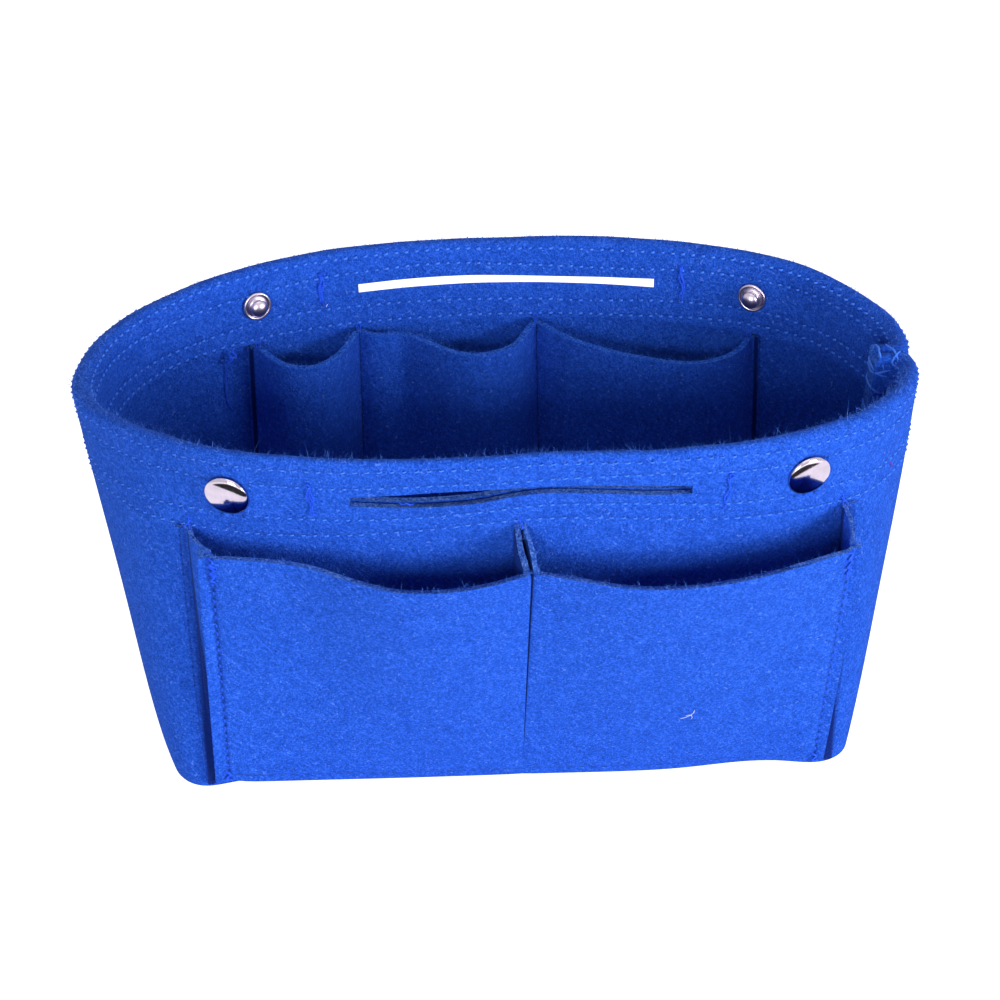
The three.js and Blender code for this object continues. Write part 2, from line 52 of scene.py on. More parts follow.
HEIGHT = 138.0
END_DIP = 9.0  # the rim's ends lie lower than its middle
END_BOW = 2.5  # the ends belly out between base and rim
HALF_MOUTH, HALF_MOUTH_DEPTH, MOUTH_SQUARENESS = 140.0, 81.5, 2.2
HALF_BASE, HALF_BASE_DEPTH, BASE_SQUARENESS = 117.5, 55.0, 9.0
FELT = 3.0
SEWN_GAP = 0.3
ONE_LAYER = FELT + SEWN_GAP
HEM_THICKNESS = 2 * FELT + SEWN_GAP
HEM_DEPTH = 28.5
FOLD_RADIUS = FELT + SEWN_GAP / 2
FITTINGS_SHIFT = 3.5  # slots, studs and pockets sit this far right of the middle
FIN_DEPTH = 6.0
FIN_PRESS = 0.8  # the stitched fin's layers over their free thickness
FIN_KNOB, KNOB_SPREAD = 0.26, 4.2  # the fin is thicker by this share just under the rim
TIP_ROUND = 3.8  # the fin's tip falls back this far at the rim's crest
LIP_HEIGHT = 10.0  # the base panel's turned-up edge
STITCHES_ROUND = 192  # stitches in one rim row

# How the bag as it stands strays from its drawing. A bump is its turn, its spread and its height.
LEAN_LEFT, LEAN_FRONT = 2.4, 2.2
FRONT_SAG, FRONT_TUCK = 1.2, 1.2
SHOULDER_PRESS = (0.567, 0.035, 3.2)  # the mouth's front left shoulder is pressed in
SEAM_BULGES = [(0.036, 0.012, 1.0), (0.0, 0.009, -1.5), (0.964, 0.012, 0.6)]
BASE_CORNERS = [(0.590, 0.016, 5.5), (0.912, 0.016, 2.4)]  # the base's front corners stand out
FOOT_PULLS = [(0.575, 0.02, 1.5), (0.872, 0.03, 2.4)]  # just beside them the foot is pulled in
SIDE_BELLIES = [(0.56, 0.03, 1.7), (0.94, 0.03, 1.0)]
RIM_LIFTS = [(0.77, 0.04, 2.4), (0.085, 0.06, 2.3), (0.37, 0.05, 1.1)]
CREST_PRESS = [(0.0, 0), (0.18, 0), (0.23, 0.6), (0.3, 0.5), (0.36, 0.8), (0.41, 1.0), (0.46, 0.8)]
CREST_PRESS += [(0.51, 0), (1.0, 0)]  # where along the rim its crest is flattened, as turn and share
CREST_IN, CREST_DOWN = 1.5, 1.1


def unit(v):
    """Vectors of length one."""
    return v / np.maximum(np.linalg.norm(v, axis=-1, keepdims=True), 1e-9)


def smooth_step(low, high, x):
    """0 below low, 1 above high and an S between."""
    t = np.clip((x - low) / (high - low), 0, 1)
    return t * t * (3 - 2 * t)


def quadrant(half_length, half_depth, squareness):
    """A quarter superellipse |x/a|^n + |y/b|^n = 1 as x, y and the share of its length walked."""
    angle = np.linspace(0, math.pi / 2, 2001)
    c, s = np.cos(angle), np.sin(angle)
    radius = ((c / half_length) ** squareness + (s / half_depth) ** squareness) ** (-1 / squareness)
    x, y = radius * c, radius * s
    walked = np.concatenate([[0], np.cumsum(np.hypot(np.diff(x), np.diff(y)))])
    return x, y, walked / walked[-1]


mouth = quadrant(HALF_MOUTH, HALF_MOUTH_DEPTH, MOUTH_SQUARENESS)
base = quadrant(HALF_BASE, HALF_BASE_DEPTH, BASE_SQUARENESS)


def outline_at(curve, turn):
    """A point of the whole outline, whose quarters mirror each other: turn is 0 at +X, anticlockwise."""
    quarter = np.mod(turn, 1.0) * 4
    index = np.minimum(quarter.astype(int), 3)
    share = quarter - index
    share = np.where(index % 2 == 0, share, 1 - share)
    x = np.interp(share, curve[2], curve[0])
    y = np.interp(share, curve[2], curve[1])
    return np.where((index == 1) | (index == 2), -x, x), np.where(index >= 2, -y, y)


def wall_line(turn, rise):
    """The wall's outside: straight rulings from base to mouth, with ends that belly and dip."""
    turn, rise = np.broadcast_arrays(np.asarray(turn, float), np.asarray(rise, float))
    mouth_x, mouth_y = outline_at(mouth, turn)
    base_x, base_y = outline_at(base, turn)
    end = np.abs(mouth_x / HALF_MOUTH)
    belly = np.sign(mouth_x) * END_BOW * 4 * rise * (1 - rise) * end**4
    x = base_x + (mouth_x - base_x) * rise + belly
    y = base_y + (mouth_y - base_y) * rise
    return np.stack([x, y, rise * (HEIGHT - END_DIP * end**2.5)], -1)


def curve_through(points, x):
    """A smooth curve through a few points, read at every x: cubic pieces that share their slopes."""
    at, value = np.array(points, float).T
    slope = np.gradient(value, at)
    i = np.clip(np.searchsorted(at, x) - 1, 0, len(at) - 2)
    span = at[i + 1] - at[i]
    t = np.clip((x - at[i]) / span, 0, 1)
    rising = t * t * (3 - 2 * t)
    bend = t * (1 - t) ** 2 * slope[i] + t * t * (t - 1) * slope[i + 1]
    return value[i] * (1 - rising) + value[i + 1] * rising + span * bend


def bumps(turn, *shapes):
    """Bells round the bag, summed: each is full height at its own turn and 0.37 of it at its spread."""
    total = 0.0
    for middle, spread, height in shapes:
        away = np.mod(np.asarray(turn, float) - middle + 0.5, 1.0) - 0.5
        total = total + height * np.exp(-((away / spread) ** 2))
    return total


def drift(turn, rise):
    """How far the bag as it stands strays from its drawing, outward and up.

    The mouth's lean and slow waves grow with the square of the rise, and quick ripples with its fourth
    power. The base's corners fade straight upward and the foot's pulls at once. A side belly is the
    rise times the square of what is above it, scaled to 1 at its fullest. The crest is flattened only
    at the very top.
    """
    a = 2 * math.pi * np.asarray(turn, float)
    above = 1 - rise
    front = np.maximum(-np.sin(a), 0) ** 2
    lean = -LEAN_LEFT * np.cos(a) * np.abs(np.cos(a)) ** 5 + LEAN_FRONT * front
    lean += bumps(turn, *SEAM_BULGES) - bumps(turn, SHOULDER_PRESS)
    slow = 0.35 * np.sin(5 * a + 0.6) + 0.25 * np.sin(9 * a + 2.1)
    quick = 0.14 * np.sin(17 * a + 1.0 + 3 * rise) + 0.09 * np.sin(29 * a + 4.0)
    foot = (bumps(turn, *BASE_CORNERS) - FRONT_TUCK * front) * above
    foot = foot - bumps(turn, *FOOT_PULLS) * above**12
    foot = foot + bumps(turn, *SIDE_BELLIES) * 6.75 * rise * above**2
    lift = bumps(turn, *RIM_LIFTS) - FRONT_SAG * front
    crest = curve_through(CREST_PRESS, np.mod(turn, 1.0)) * rise**60
    outward = foot + (lean + slow) * rise**2 + quick * rise**4 - CREST_IN * crest
    return outward, lift * rise**2 - CREST_DOWN * crest


def wall_frame(turn, rise):
    """Along, up and outward directions of the wall at a place."""
    step = 1e-3
    along = unit(wall_line(np.asarray(turn) + step, rise) - wall_line(np.asarray(turn) - step, rise))
    up = unit(wall_line(turn, np.asarray(rise) + step) - wall_line(turn, np.asarray(rise) - step))
    return along, up, unit(np.cross(along, up))


def wall(turn, rise, out=0.0):
    """A point off the wall's outside by a distance along its normal in plan."""
    step = 1e-3
    span = wall_line(np.asarray(turn) + step, rise) - wall_line(np.asarray(turn) - step, rise)
    normal = unit(np.stack([span[..., 1], -span[..., 0], np.zeros(span.shape[:-1])], -1))
    outward, upward = drift(turn, rise)
    point = wall_line(turn, rise) + normal * np.asarray(out + outward)[..., None]
    point[..., 2] += upward
    return point


def turn_at(x, rise, front):
    """The turn at which the wall has a given x, on the front or the back, found by halving."""
    x, rise = np.broadcast_arrays(np.asarray(x, float), np.asarray(rise, float))
    low = np.full(x.shape, 0.5 if front else 0.0)
    high = low + 0.5
    for _ in range(30):
        middle = (low + high) / 2
        beyond = (wall_line(middle, rise)[..., 0] < x) == front
        low, high = np.where(beyond, middle, low), np.where(beyond, high, middle)
    return (low + high) / 2


class Shade:
    """A socket of a material's node tree. Sums on it add Math nodes, and node() adds any other node."""

    def __init__(self, tree, socket=None):
        self.tree, self.socket = tree, socket

    def node(self, kind, settings=None, inputs=None, output=0):
        """A new node of a kind, with its settings, its values or links, and the output that is used."""
        made = self.tree.nodes.new("ShaderNode" + kind)
        for key, value in (settings or {}).items():
            if key == "stops":
                ramp = made.color_ramp
                for place, colour in value[1:-1]:
                    ramp.elements.new(place).color = (*colour, 1)
                for end in (0, -1):
                    place, colour = value[end]
                    ramp.elements[end].position, ramp.elements[end].color = place, (*colour, 1)
            else:
                setattr(made, key, value)
        for key, value in (inputs or {}).items():
            if isinstance(value, Shade):
                self.tree.links.new(value.socket, made.inputs[key])
            else:
                made.inputs[key].default_value = value
        return Shade(self.tree, made.outputs[output] if made.outputs else None)

    def maths(self, operation, other):
        """A Math node on this value and another."""
        return self.node("Math", {"operation": operation}, {0: self, 1: other})

    def __add__(self, other):
        return self.maths("ADD", other)

    def __mul__(self, other):
        return self.maths("MULTIPLY", other)

    def __sub__(self, other):
        return self.maths("SUBTRACT", other)

    def __rsub__(self, other):
        return self.node("Math", {"operation": "SUBTRACT"}, {0: other, 1: self})

    __radd__, __rmul__ = __add__, __mul__

    def between(self, low, high):
        """0 below low and 1 above high, straight between."""
        return self.node("MapRange", {}, {0: self, 1: low, 2: high, 3: 0.0, 4: 1.0})

    def blend(self, first, second):
        """A colour between two, by this factor."""
        return self.node("Mix", {"data_type": "RGBA"}, {0: self, 6: first, 7: second}, 2)


def new_material(name):
    """An empty material and the Shade that nodes are added from."""
    material = bpy.data.materials.new(name)
    material.use_nodes = True
    material.node_tree.nodes.clear()
    return material, Shade(material.node_tree)


def object_place(shade):
    """Where a point lies in the piece, for patterns that fill it."""
    return shade.node("TexCoord", {}, {}, 3)


def surfaced(material, shade, inputs):
    """The material with its one surface led to its output."""
    surface = shade.node("BsdfPrincipled", {}, inputs)
    shade.node("OutputMaterial", {}, {0: surface})
    return material


def noise(shade, vector, scale, detail=2.0, roughness=0.5, distortion=0.0):
    """Noise of a given scale per metre, from 0 to 1."""
    inputs = {"Vector": vector, "Scale": scale, "Detail": detail, "Roughness": roughness}
    return shade.node("TexNoise", {}, {**inputs, "Distortion": distortion})


def fibre_field(shade, place, pitch):
    """Felt fibres that lie every way: the stronger of three noises, each drawn out along its own line."""
    layers = []
    for turned in ((0.4, 0.7, 0.2), (1.3, -0.5, 1.1), (-0.6, 0.3, 2.2)):
        inputs = {"Vector": place, "Rotation": turned, "Scale": (3.2, 1.0, 1.0)}
        drawn = shade.node("Mapping", {"vector_type": "TEXTURE"}, inputs)
        layers.append(noise(shade, drawn, 1 / pitch, 3.0, 0.6, 0.6))
    return layers[0].maths("MAXIMUM", layers[1]).maths("MAXIMUM", layers[2])


FELT_PAINTED_SHADE = (0.001, 0.010, 0.12, 1)
FELT_LIGHT = (0.13, 0.27, 0.90, 1)
FELT_TONES = [
    (0.0, (0.004, 0.034, 0.30)),
    (0.45, (0.012, 0.086, 0.58)),
    (1.0, (0.048, 0.176, 0.90)),
]
FIBRE_PITCH = 0.00095  # metres
GRAIN, MOTTLE, PALE_FLECKS = 1500.0, 170.0, 800.0  # scales per metre


def finish_felt(material, shade, colour, bump):
    """Felt's surface: no gloss, and a soft sheen from the fibre tips."""
    inputs = {"Base Color": colour, "Roughness": 0.95, "Specular IOR Level": 0.12, "Normal": bump}
    sheen = {"Sheen Weight": 0.22, "Sheen Roughness": 0.45, "Sheen Tint": (0.06, 0.22, 1.0, 1)}
    return surfaced(material, shade, {**inputs, **sheen})


def felt_material(name, pressed=None):
    """Pressed felt: a mat of dyed fibres whose tone is partly random and partly painted shade, lighter where they
    stand up and darker between them.

    The function pressed tells, from the piece's map, where seams press a groove into the felt, where
    their needle holes are, and how much painted shade darkens the groove and the holes.
    """
    material, shade = new_material(name)
    place = object_place(shade)
    fibres = fibre_field(shade, place, FIBRE_PITCH).between(0.47, 0.72)
    grain = noise(shade, place, GRAIN, 2.0, 0.65).between(0.36, 0.64)
    mottle = noise(shade, place, MOTTLE, 3.0, 0.6).between(0.3, 0.7)
    lint = noise(shade, place, PALE_FLECKS, 1.0).between(0.68, 0.75)
    body = fibres * 0.6 + grain * 0.4
    # Partly painted shade: the tone follows the same fibre noise as the bump, so the felt is darker where it lies
    # low.
    tone = shade.node("ValToRGB", {"stops": FELT_TONES}, {"Fac": body * 0.88 + mottle * 0.12})
    colour = (lint * 0.55).blend(tone, FELT_LIGHT)
    height = body + mottle * 0.25
    if pressed:
        groove, pits, dark = pressed(shade)
        height = height - groove * 1.5 - pits * 1.6
        # Painted shade: the seams' grooves, holes and hollows are darkened toward a deep blue in the colour.
        colour = dark.blend(colour, FELT_PAINTED_SHADE)
    bump = shade.node("Bump", {}, {"Strength": 0.7, "Distance": 0.0006, "Height": height})
    return finish_felt(material, shade, colour, bump)


def map_axes(shade):
    """The two coordinates of the piece's map."""
    map_place = shade.node("TexCoord", {}, {}, 2)
    return [shade.node("SeparateXYZ", {}, {0: map_place}, axis) for axis in (0, 1)]


def near_line(coordinate, line, reach):
    """1 on a line of the map, falling as a parabola to 0 at the reach."""
    near = 1 - (coordinate - line).maths("ABSOLUTE", 0).between(0.0, reach)
    return near * near


def needle_holes(count):
    """1 at every whole number of stitches."""
    return (count * (2 * math.pi)).maths("COSINE", 0).between(0.6, 1.0)


ROW_STEP = 10.0  # the map's second coordinate gains this from one rim row to the next


def rim_seams(shade):
    """Grooves along the rim's four rows, where the map's second coordinate is a whole number of steps."""
    around, across = map_axes(shade)
    row = (across + ROW_STEP / 2).maths("FLOORED_MODULO", ROW_STEP)
    groove = near_line(row, ROW_STEP / 2, 1.2)
    pits = groove * needle_holes(around + 0.5)
    # The needle holes are darkened as painted shade.
    return groove, pits, pits * 0.85


def cut_edge_material(name, tones):
    """Felt where it was cut: the ends of grey, blue and pale fibres, coarse and speckled."""
    material, shade = new_material(name)
    place = object_place(shade)
    speck = noise(shade, place, 1300.0, 3.0, 0.75)
    strands = noise(shade, place, 700.0, 2.0, 0.6, 1.0)
    tone = shade.node("ValToRGB", {"stops": tones}, {"Fac": speck * 0.6 + strands * 0.4})
    bump = shade.node("Bump", {}, {"Strength": 1.0, "Distance": 0.0008, "Height": speck + strands})
    return finish_felt(material, shade, tone, bump)


def ring_quads(rings, sides):
    """Quads from each ring of points to the next, where every ring closes after so many sides."""
    ring, side = (index.ravel() for index in np.indices((rings - 1, sides)))
    after = (side + 1) % sides
    here, ahead = ring * sides, (ring + 1) * sides
    return np.stack([here + side, here + after, ahead + after, ahead + side], 1)


def make_piece(name, points, faces, materials, slots=None, uv=None):
    """A mesh object from points in millimetres and arrays of faces; it rides on the bag's one body."""
    mesh = bpy.data.meshes.new(name)
    corners = [face for group in faces for face in group.tolist()]
    mesh.from_pydata((points * 0.001).tolist(), [], corners)
    for material in materials:
        mesh.materials.append(material)
    mesh.polygons.foreach_set("use_smooth", np.ones(len(mesh.polygons), bool))
    if slots is not None:
        mesh.polygons.foreach_set("material_index", slots.astype(np.int32))
    if uv is not None:
        layer = mesh.uv_layers.new(name="UVMap")
        index = np.zeros(len(mesh.loops), np.int32)
        mesh.loops.foreach_get("vertex_index", index)
        layer.data.foreach_set("uv", uv[index].astype(np.float32).ravel())
    piece = bpy.data.objects.new(name, mesh)
    bpy.context.scene.collection.objects.link(piece)
    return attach(piece, "root")


EDGE_BEVEL = 0.45


def felt_sheet(name, face, back, materials, holes=(), uv=None):
    """A closed sheet of felt from the point grids of its two faces, rows by columns.

    Every cell becomes a quad on each face. Where a cell has no neighbour, at the outer edges and round
    the holes, a quad joins the two faces and takes the second material, the cut edge. The ends of the
    rows take the third material, if there is one.
    """
    rows, columns = face.shape[:2]
    here = np.ones((rows - 1, columns - 1), bool)
    for r0, r1, c0, c1 in holes:
        here[r0:r1, c0:c1] = False
    r, c = np.nonzero(here)
    other = rows * columns
    a, e = r * columns + c, (r + 1) * columns + c
    b, d = a + 1, e + 1
    quads = [np.stack([a, b, d, e], 1), np.stack([a, e, d, b], 1) + other]
    padded = np.pad(here, 1)
    sides = [
        (padded[:-2, 1:-1], b, a),
        (padded[2:, 1:-1], e, d),
        (padded[1:-1, :-2], a, e),
        (padded[1:-1, 2:], d, b),
    ]
    cut = []
    for neighbour, first, second in sides:
        lone = ~neighbour[r, c]
        first, second = first[lone], second[lone]
        cut.append(np.stack([first, second, second + other, first + other], 1))
    faces = quads + cut
    edge_slots = [np.full(len(g), min(1 + k // 2, len(materials) - 1)) for k, g in enumerate(cut)]
    slots = np.concatenate([np.zeros(2 * len(r)), *edge_slots])
    points = np.concatenate([face.reshape(-1, 3), back.reshape(-1, 3)])
    used = np.unique(np.concatenate([g.ravel() for g in faces]))
    new_index = np.full(len(points), -1)
    new_index[used] = np.arange(len(used))
    faces = [new_index[g] for g in faces]
    flat_uv = None if uv is None else np.concatenate([uv.reshape(-1, 2)] * 2)[used]
    piece = make_piece(name, points[used], faces, materials, slots, flat_uv)
    soft = piece.modifiers.new("soft edge", "BEVEL")
    soft.width, soft.segments, soft.limit_method = EDGE_BEVEL * 0.001, 2, "ANGLE"
    soft.angle_limit = math.radians(62)
    soft.harden_normals = True
    return piece


# Drop of each row of stitches below the rim, as turn and millimetres. The front rows were sewn higher
# in the middle than at the sides.
RIM_ROWS = [
    [(0, 2.5), (0.06, 2.3), (0.13, 2.3), (0.17, 3.1), (0.2, 3.6), (0.24, 3.2), (0.27, 2.6), (0.3, 2.8)]
    + [(0.33, 3.1), (0.36, 2.6), (0.4, 2.4), (0.46, 2.5), (0.52, 2.9), (0.6, 3.4), (0.65, 3.5), (0.7, 2.6)]
    + [(0.75, 2.4), (0.8, 2.4), (0.84, 2.6), (0.86, 3.5), (0.89, 4.2), (0.94, 3.6), (1, 2.5)],
    [(0, 7.5), (0.06, 7), (0.1, 7.7), (0.13, 8), (0.16, 8.9), (0.19, 10), (0.216, 9.9), (0.25, 8.6), (0.28, 7.8)]
    + [(0.31, 8.5), (0.35, 9.5), (0.385, 10.4), (0.42, 10.4), (0.45, 9.4), (0.5, 8.6), (0.6, 9.8), (0.69, 9.3)]
    + [(0.71, 8.5), (0.76, 8.4), (0.79, 7.6), (0.82, 7.4), (0.845, 8.8), (0.88, 10), (0.94, 9), (1, 7.5)],
    [(0, 20.5), (0.06, 20), (0.087, 20.3), (0.11, 19.5), (0.145, 20.1), (0.172, 20.9), (0.2, 22.2)]
    + [(0.24, 21.5), (0.28, 21.1), (0.34, 20.9), (0.368, 20.5), (0.394, 21.8), (0.43, 21.8), (0.47, 20.5)]
    + [(0.55, 22), (0.62, 22.9), (0.69, 22.1), (0.72, 20.9), (0.74, 19.7), (0.756, 18.7), (0.79, 18.6)]
    + [(0.81, 19), (0.825, 20.2), (0.84, 21.4), (0.87, 22.5), (0.92, 22), (1, 20.5)],
    [(0, 26), (0.05, 25.5), (0.116, 25.2), (0.14, 25.5), (0.17, 26.6), (0.216, 27.5), (0.25, 26.9)]
    + [(0.29, 27), (0.33, 27.2), (0.376, 27), (0.41, 27.9), (0.45, 26.8), (0.5, 27.2), (0.56, 28.4)]
    + [(0.63, 30), (0.68, 28.7), (0.7, 27.3), (0.72, 26), (0.735, 24.8), (0.753, 24), (0.79, 24.3)]
    + [(0.81, 25.2), (0.83, 26.8), (0.85, 28.1), (0.88, 29), (0.93, 28.4), (1, 26)],
]


def row_drop(row, turn):
    """How far a rim row runs below the rim."""
    return curve_through(RIM_ROWS[row], np.asarray(turn, float))


# Each slot's lips, as x from the fittings' middle and drop below the rim.
FRONT_SLOT = {
    "upper": [(-56, 13.2), (-43, 12.4), (-27, 11.2), (-12, 10.9), (-2, 10.9), (16, 11.1), (39, 11.8), (56, 13.2)],
    "lower": [(-56, 16.3), (-40, 17.1), (-28, 17.1), (-12, 16), (-4, 14.5), (4, 13.7), (26, 14.6), (56, 16.5)],
}
BACK_SLOT = {
    "upper": [(-56, 13.2), (-23, 12.6), (-8, 12.7), (21, 13.7), (40, 13.4), (60, 12.6)],
    "lower": [(-56, 16.1), (-31, 15.6), (-4, 15.4), (21, 15.9), (56, 15.8)],
}
HEM_BACK_DROOP, WALL_DROOP = 2.0, 5.8  # the back slot's lower lip hangs lower behind the hem's face
SLOT_RISE, SLOT_HALF = 0.893, 53.0  # a slot's middle line and half its length
BACK_SLOT_SHIFT, BACK_SLOT_GROWTH = 2.0, 1.4  # the back slot sits further right and is longer at each end
GAPE = 0.2  # the cut pressed the lips thinner by this share, so the two layers gape
SPARSE_ABOVE = 34.0  # the drop above which the wall's rows lie closer
WALL_ROWS, UNDER_SLOT_ROWS, OVER_SLOT_ROWS = 26, 9, 7


def slot_lips(turn, droop):
    """Drops of the slot's upper and lower lip: open at the back, and wavy and nearly shut in front."""
    x = wall_line(turn, 0.9)[..., 0] - FITTINGS_SHIFT
    front = smooth_step(0.0, 0.2, -np.sin(2 * math.pi * np.asarray(turn, float)))
    upper, lower = (
        curve_through(BACK_SLOT[lip], x) * (1 - front) + curve_through(FRONT_SLOT[lip], x) * front
        for lip in ("upper", "lower")
    )
    return upper, lower + droop * (1 - front)


def wrap_rows(turn, droop):
    """Drop below the rim of every row of the wall, from the base up to where the rim's fold starts."""
    upper, lower = slot_lips(turn, droop)
    stretches = [
        (HEIGHT, SPARSE_ABOVE, WALL_ROWS),
        (SPARSE_ABOVE, lower, UNDER_SLOT_ROWS),
        (lower, upper, 1),
        (upper, FOLD_RADIUS, OVER_SLOT_ROWS),
    ]
    drops = [HEIGHT]
    for start, end, count in stretches:
        drops += [start + (end - start) * i / count for i in range(1, count + 1)]
    return np.stack([np.broadcast_to(drop, turn.shape) for drop in drops])


RIM_STEPS, WALL_STEPS, BEND_STEPS, FIN_STEPS = 10, 400, 6, 5
wall_columns = np.linspace(0.0, 1.0, WALL_STEPS + 1)
bend = np.linspace(0.0, 1.0, BEND_STEPS + 1)[:-1]
fin = np.linspace(0.0, 1.0, FIN_STEPS + 1)[:-1]
side_columns = FIN_STEPS + BEND_STEPS


def fin_y(out):
    """How far the fin's faces stand from its middle. Its halves touch, sewn together and pressed thinner."""
    return -FIN_PRESS * out


def seam_start(rise, out):
    """The turn at which the wall's face reaches the bend into the fin, and the bend's radius."""
    table = np.linspace(0, 0.06, 121)
    radius = max(ONE_LAYER + out, SEWN_GAP)
    return np.interp(fin_y(out) + radius, wall(table, rise, out)[:, 1], table), radius


def wrap_path(turn, rise, out, tip_short):
    """One row of one face of the wrap, tip to tip: in along the fin, round its bend, round the bag.

    The bend is a quadratic curve from the wall to the fin, and the fin lies square to the wall. Inside
    the base panel's lip the fin is trimmed away.
    """
    start, radius = seam_start(rise[0], out)
    spread = start + (1 - 2 * start) * turn
    body = wall(spread, rise, out)
    height = body[0, 2]
    corner = np.array([body[0, 0], fin_y(out), height])
    reach = wall(np.zeros(1), rise[0], -2 * FOLD_RADIUS)[0, 0] - FIN_DEPTH
    grown = float(smooth_step(LIP_HEIGHT - 0.5, LIP_HEIGHT + 2.0, height))
    inner_x = (corner[0] - radius) + (reach + tip_short - corner[0] + radius) * grown - 0.2
    foot = np.array([corner[0] - radius, fin_y(out), height])
    tip = np.array([inner_x, fin_y(out), height])
    t = bend[1:, None]
    arc = (1 - t) ** 2 * foot + 2 * t * (1 - t) * corner + t**2 * body[0]
    near_side = np.concatenate([tip + (foot - tip) * fin[:, None], foot[None], arc])
    knob = math.exp(-(((HEIGHT - END_DIP - height - 1.0) / KNOB_SPREAD) ** 2))
    near_side[:, 1] *= 1 + FIN_KNOB * knob * np.linspace(1, 0, side_columns)
    far_side = (near_side * np.array([1, -1, 1]))[::-1]
    ends = np.ones(side_columns)
    return np.concatenate([near_side, body, far_side]), np.concatenate([0 * ends, spread, ends])


def wrap_face(radius):
    """One face of the wrap's whole section: up the wall, round the rim's fold and down the hem.

    Beside the points it gives each one's turn and drop, and how many rows the wall and the hem have.
    """
    start = seam_start(0.9, 0.0)[0]
    turn = start + (1 - 2 * start) * wall_columns
    rise = 1 - wrap_rows(turn, WALL_DROOP) / HEIGHT
    angles = np.linspace(0, math.pi, RIM_STEPS + 1)[1:-1]
    fold_rise = 1 - FOLD_RADIUS / HEIGHT
    rim = np.stack([np.full(turn.shape, fold_rise + radius * math.sin(a) / HEIGHT) for a in angles])
    hem_drops = wrap_rows(turn, 0.0 if radius == FOLD_RADIUS else HEM_BACK_DROOP)
    hem = 1 - hem_drops[wrap_rows(turn, 0.0)[:, 0] <= HEM_DEPTH][::-1] / HEIGHT
    hem[-1] = 1 - HEM_DEPTH / HEIGHT
    rises = np.concatenate([rise, rim, hem])
    outs = [radius - FOLD_RADIUS] * len(rise) + [radius * math.cos(a) - FOLD_RADIUS for a in angles]
    outs += [-radius - FOLD_RADIUS] * len(hem)
    rows, turns = [], []
    for level, out in zip(rises, outs):
        crest = max(0.0, (level[0] - fold_rise) * HEIGHT / FOLD_RADIUS)
        short = TIP_ROUND * (1 - math.sqrt(max(0.0, 1 - min(crest, 1.0) ** 2)))
        points, places = wrap_path(wall_columns, level, out, short)
        rows.append(points)
        turns.append(places)
    drops = (1 - np.pad(rises, ((0, 0), (side_columns, side_columns)), "edge")) * HEIGHT
    return np.stack(rows), np.stack(turns), drops, len(rise), len(hem)


outer_face, face_turns, face_drops, wall_count, hem_count = wrap_face(FOLD_RADIUS)
inner_face = wrap_face(SEWN_GAP / 2)[0]

SNAP_DROP = 15.0  # below the rim
CAP_RADIUS, SOCKET_FLANGE, EYELET_FLANGE = 7.5, 6.25, 5.5
STUD_DENT = 5.75  # radius of the felt that a stud presses in


def snap_frame(x, front, cap_tilt=0.0):
    """Where a press stud goes through the wall: its centre on the outside and its three directions."""
    rise = 1 - SNAP_DROP / HEIGHT
    turn = turn_at(np.array([x]), rise, front)
    along, up, _ = (d[0] for d in wall_frame(turn, rise))
    up = unit(wall(turn, rise + 0.02)[0] - wall(turn, rise - 0.02)[0])
    outward = unit(np.cross(along, up))
    tilt = math.radians(cap_tilt)
    turned_up = up * math.cos(tilt) + outward * math.sin(tilt)
    turned_out = outward * math.cos(tilt) - up * math.sin(tilt)
    return wall(turn, rise)[0], along, turned_up, turned_out


CAP_TILTS = {"left": 7.0, "right": 8.5}  # the caps pull the felt round them a little downward
SNAPS = {"left": FITTINGS_SHIFT - 90.0, "right": FITTINGS_SHIFT + 90.0}
front_snaps = {side: snap_frame(x, True, CAP_TILTS[side]) for side, x in SNAPS.items()}
back_snaps = {side: snap_frame(x, False) for side, x in SNAPS.items()}


def grid_normals(points):
    """Normals of a grid of points, from the differences along its rows and columns."""
    return unit(np.cross(np.gradient(points, axis=1), np.gradient(points, axis=0)))


def puff_round_snaps(points, rows, snaps, depth, radius, lift):
    """Pushes the felt of some rows up in a ring round one pair of studs, and lets it sink under them.

    The ring is a bell over the distance from the stud, fullest 1 mm outside its radius. The studs sit
    depth inside the wall's outside.
    """
    part, normals = points[rows].copy(), grid_normals(points)[rows]
    for origin, _, _, outward in snaps.values():
        away = np.linalg.norm(part - (origin - outward * depth), axis=-1)
        swell = lift * np.exp(-(((away - radius - 1.0) / 1.7) ** 2)) - 0.3 * (away < radius - 0.5)
        points[rows] += normals * swell[..., None]


wall_part = slice(0, wall_count)
hem_part = slice(len(outer_face) - hem_count, None)
puff_round_snaps(outer_face, wall_part, front_snaps, 0.0, CAP_RADIUS, 0.75)
puff_round_snaps(outer_face, wall_part, back_snaps, 0.0, EYELET_FLANGE, 0.55)
puff_round_snaps(outer_face, hem_part, back_snaps, HEM_THICKNESS, STUD_DENT, 0.55)
puff_round_snaps(outer_face, hem_part, front_snaps, HEM_THICKNESS, SOCKET_FLANGE, 0.5)

slot_row = WALL_ROWS + UNDER_SLOT_ROWS
hem_slot_row = len(outer_face) - 1 - (slot_row + 1 - (wall_count - hem_count))
slot_holes = []
for front, shift, growth in ((True, 0.0, 0.0), (False, BACK_SLOT_SHIFT, BACK_SLOT_GROWTH)):
    middle, half = FITTINGS_SHIFT + shift, SLOT_HALF + growth
    ends = turn_at(np.array([middle - half, middle + half]), SLOT_RISE, front)
    away = np.abs(face_turns[slot_row, side_columns:-side_columns] - np.sort(ends)[:, None])
    first, last = away.argmin(1) + side_columns
    for row in (slot_row, hem_slot_row):
        slot_holes.append((row, row + 1, first, last))
        lips = (slice(row, row + 2), slice(first, last + 1))
        inner_face[lips] += (outer_face[lips] - inner_face[lips]) * GAPE

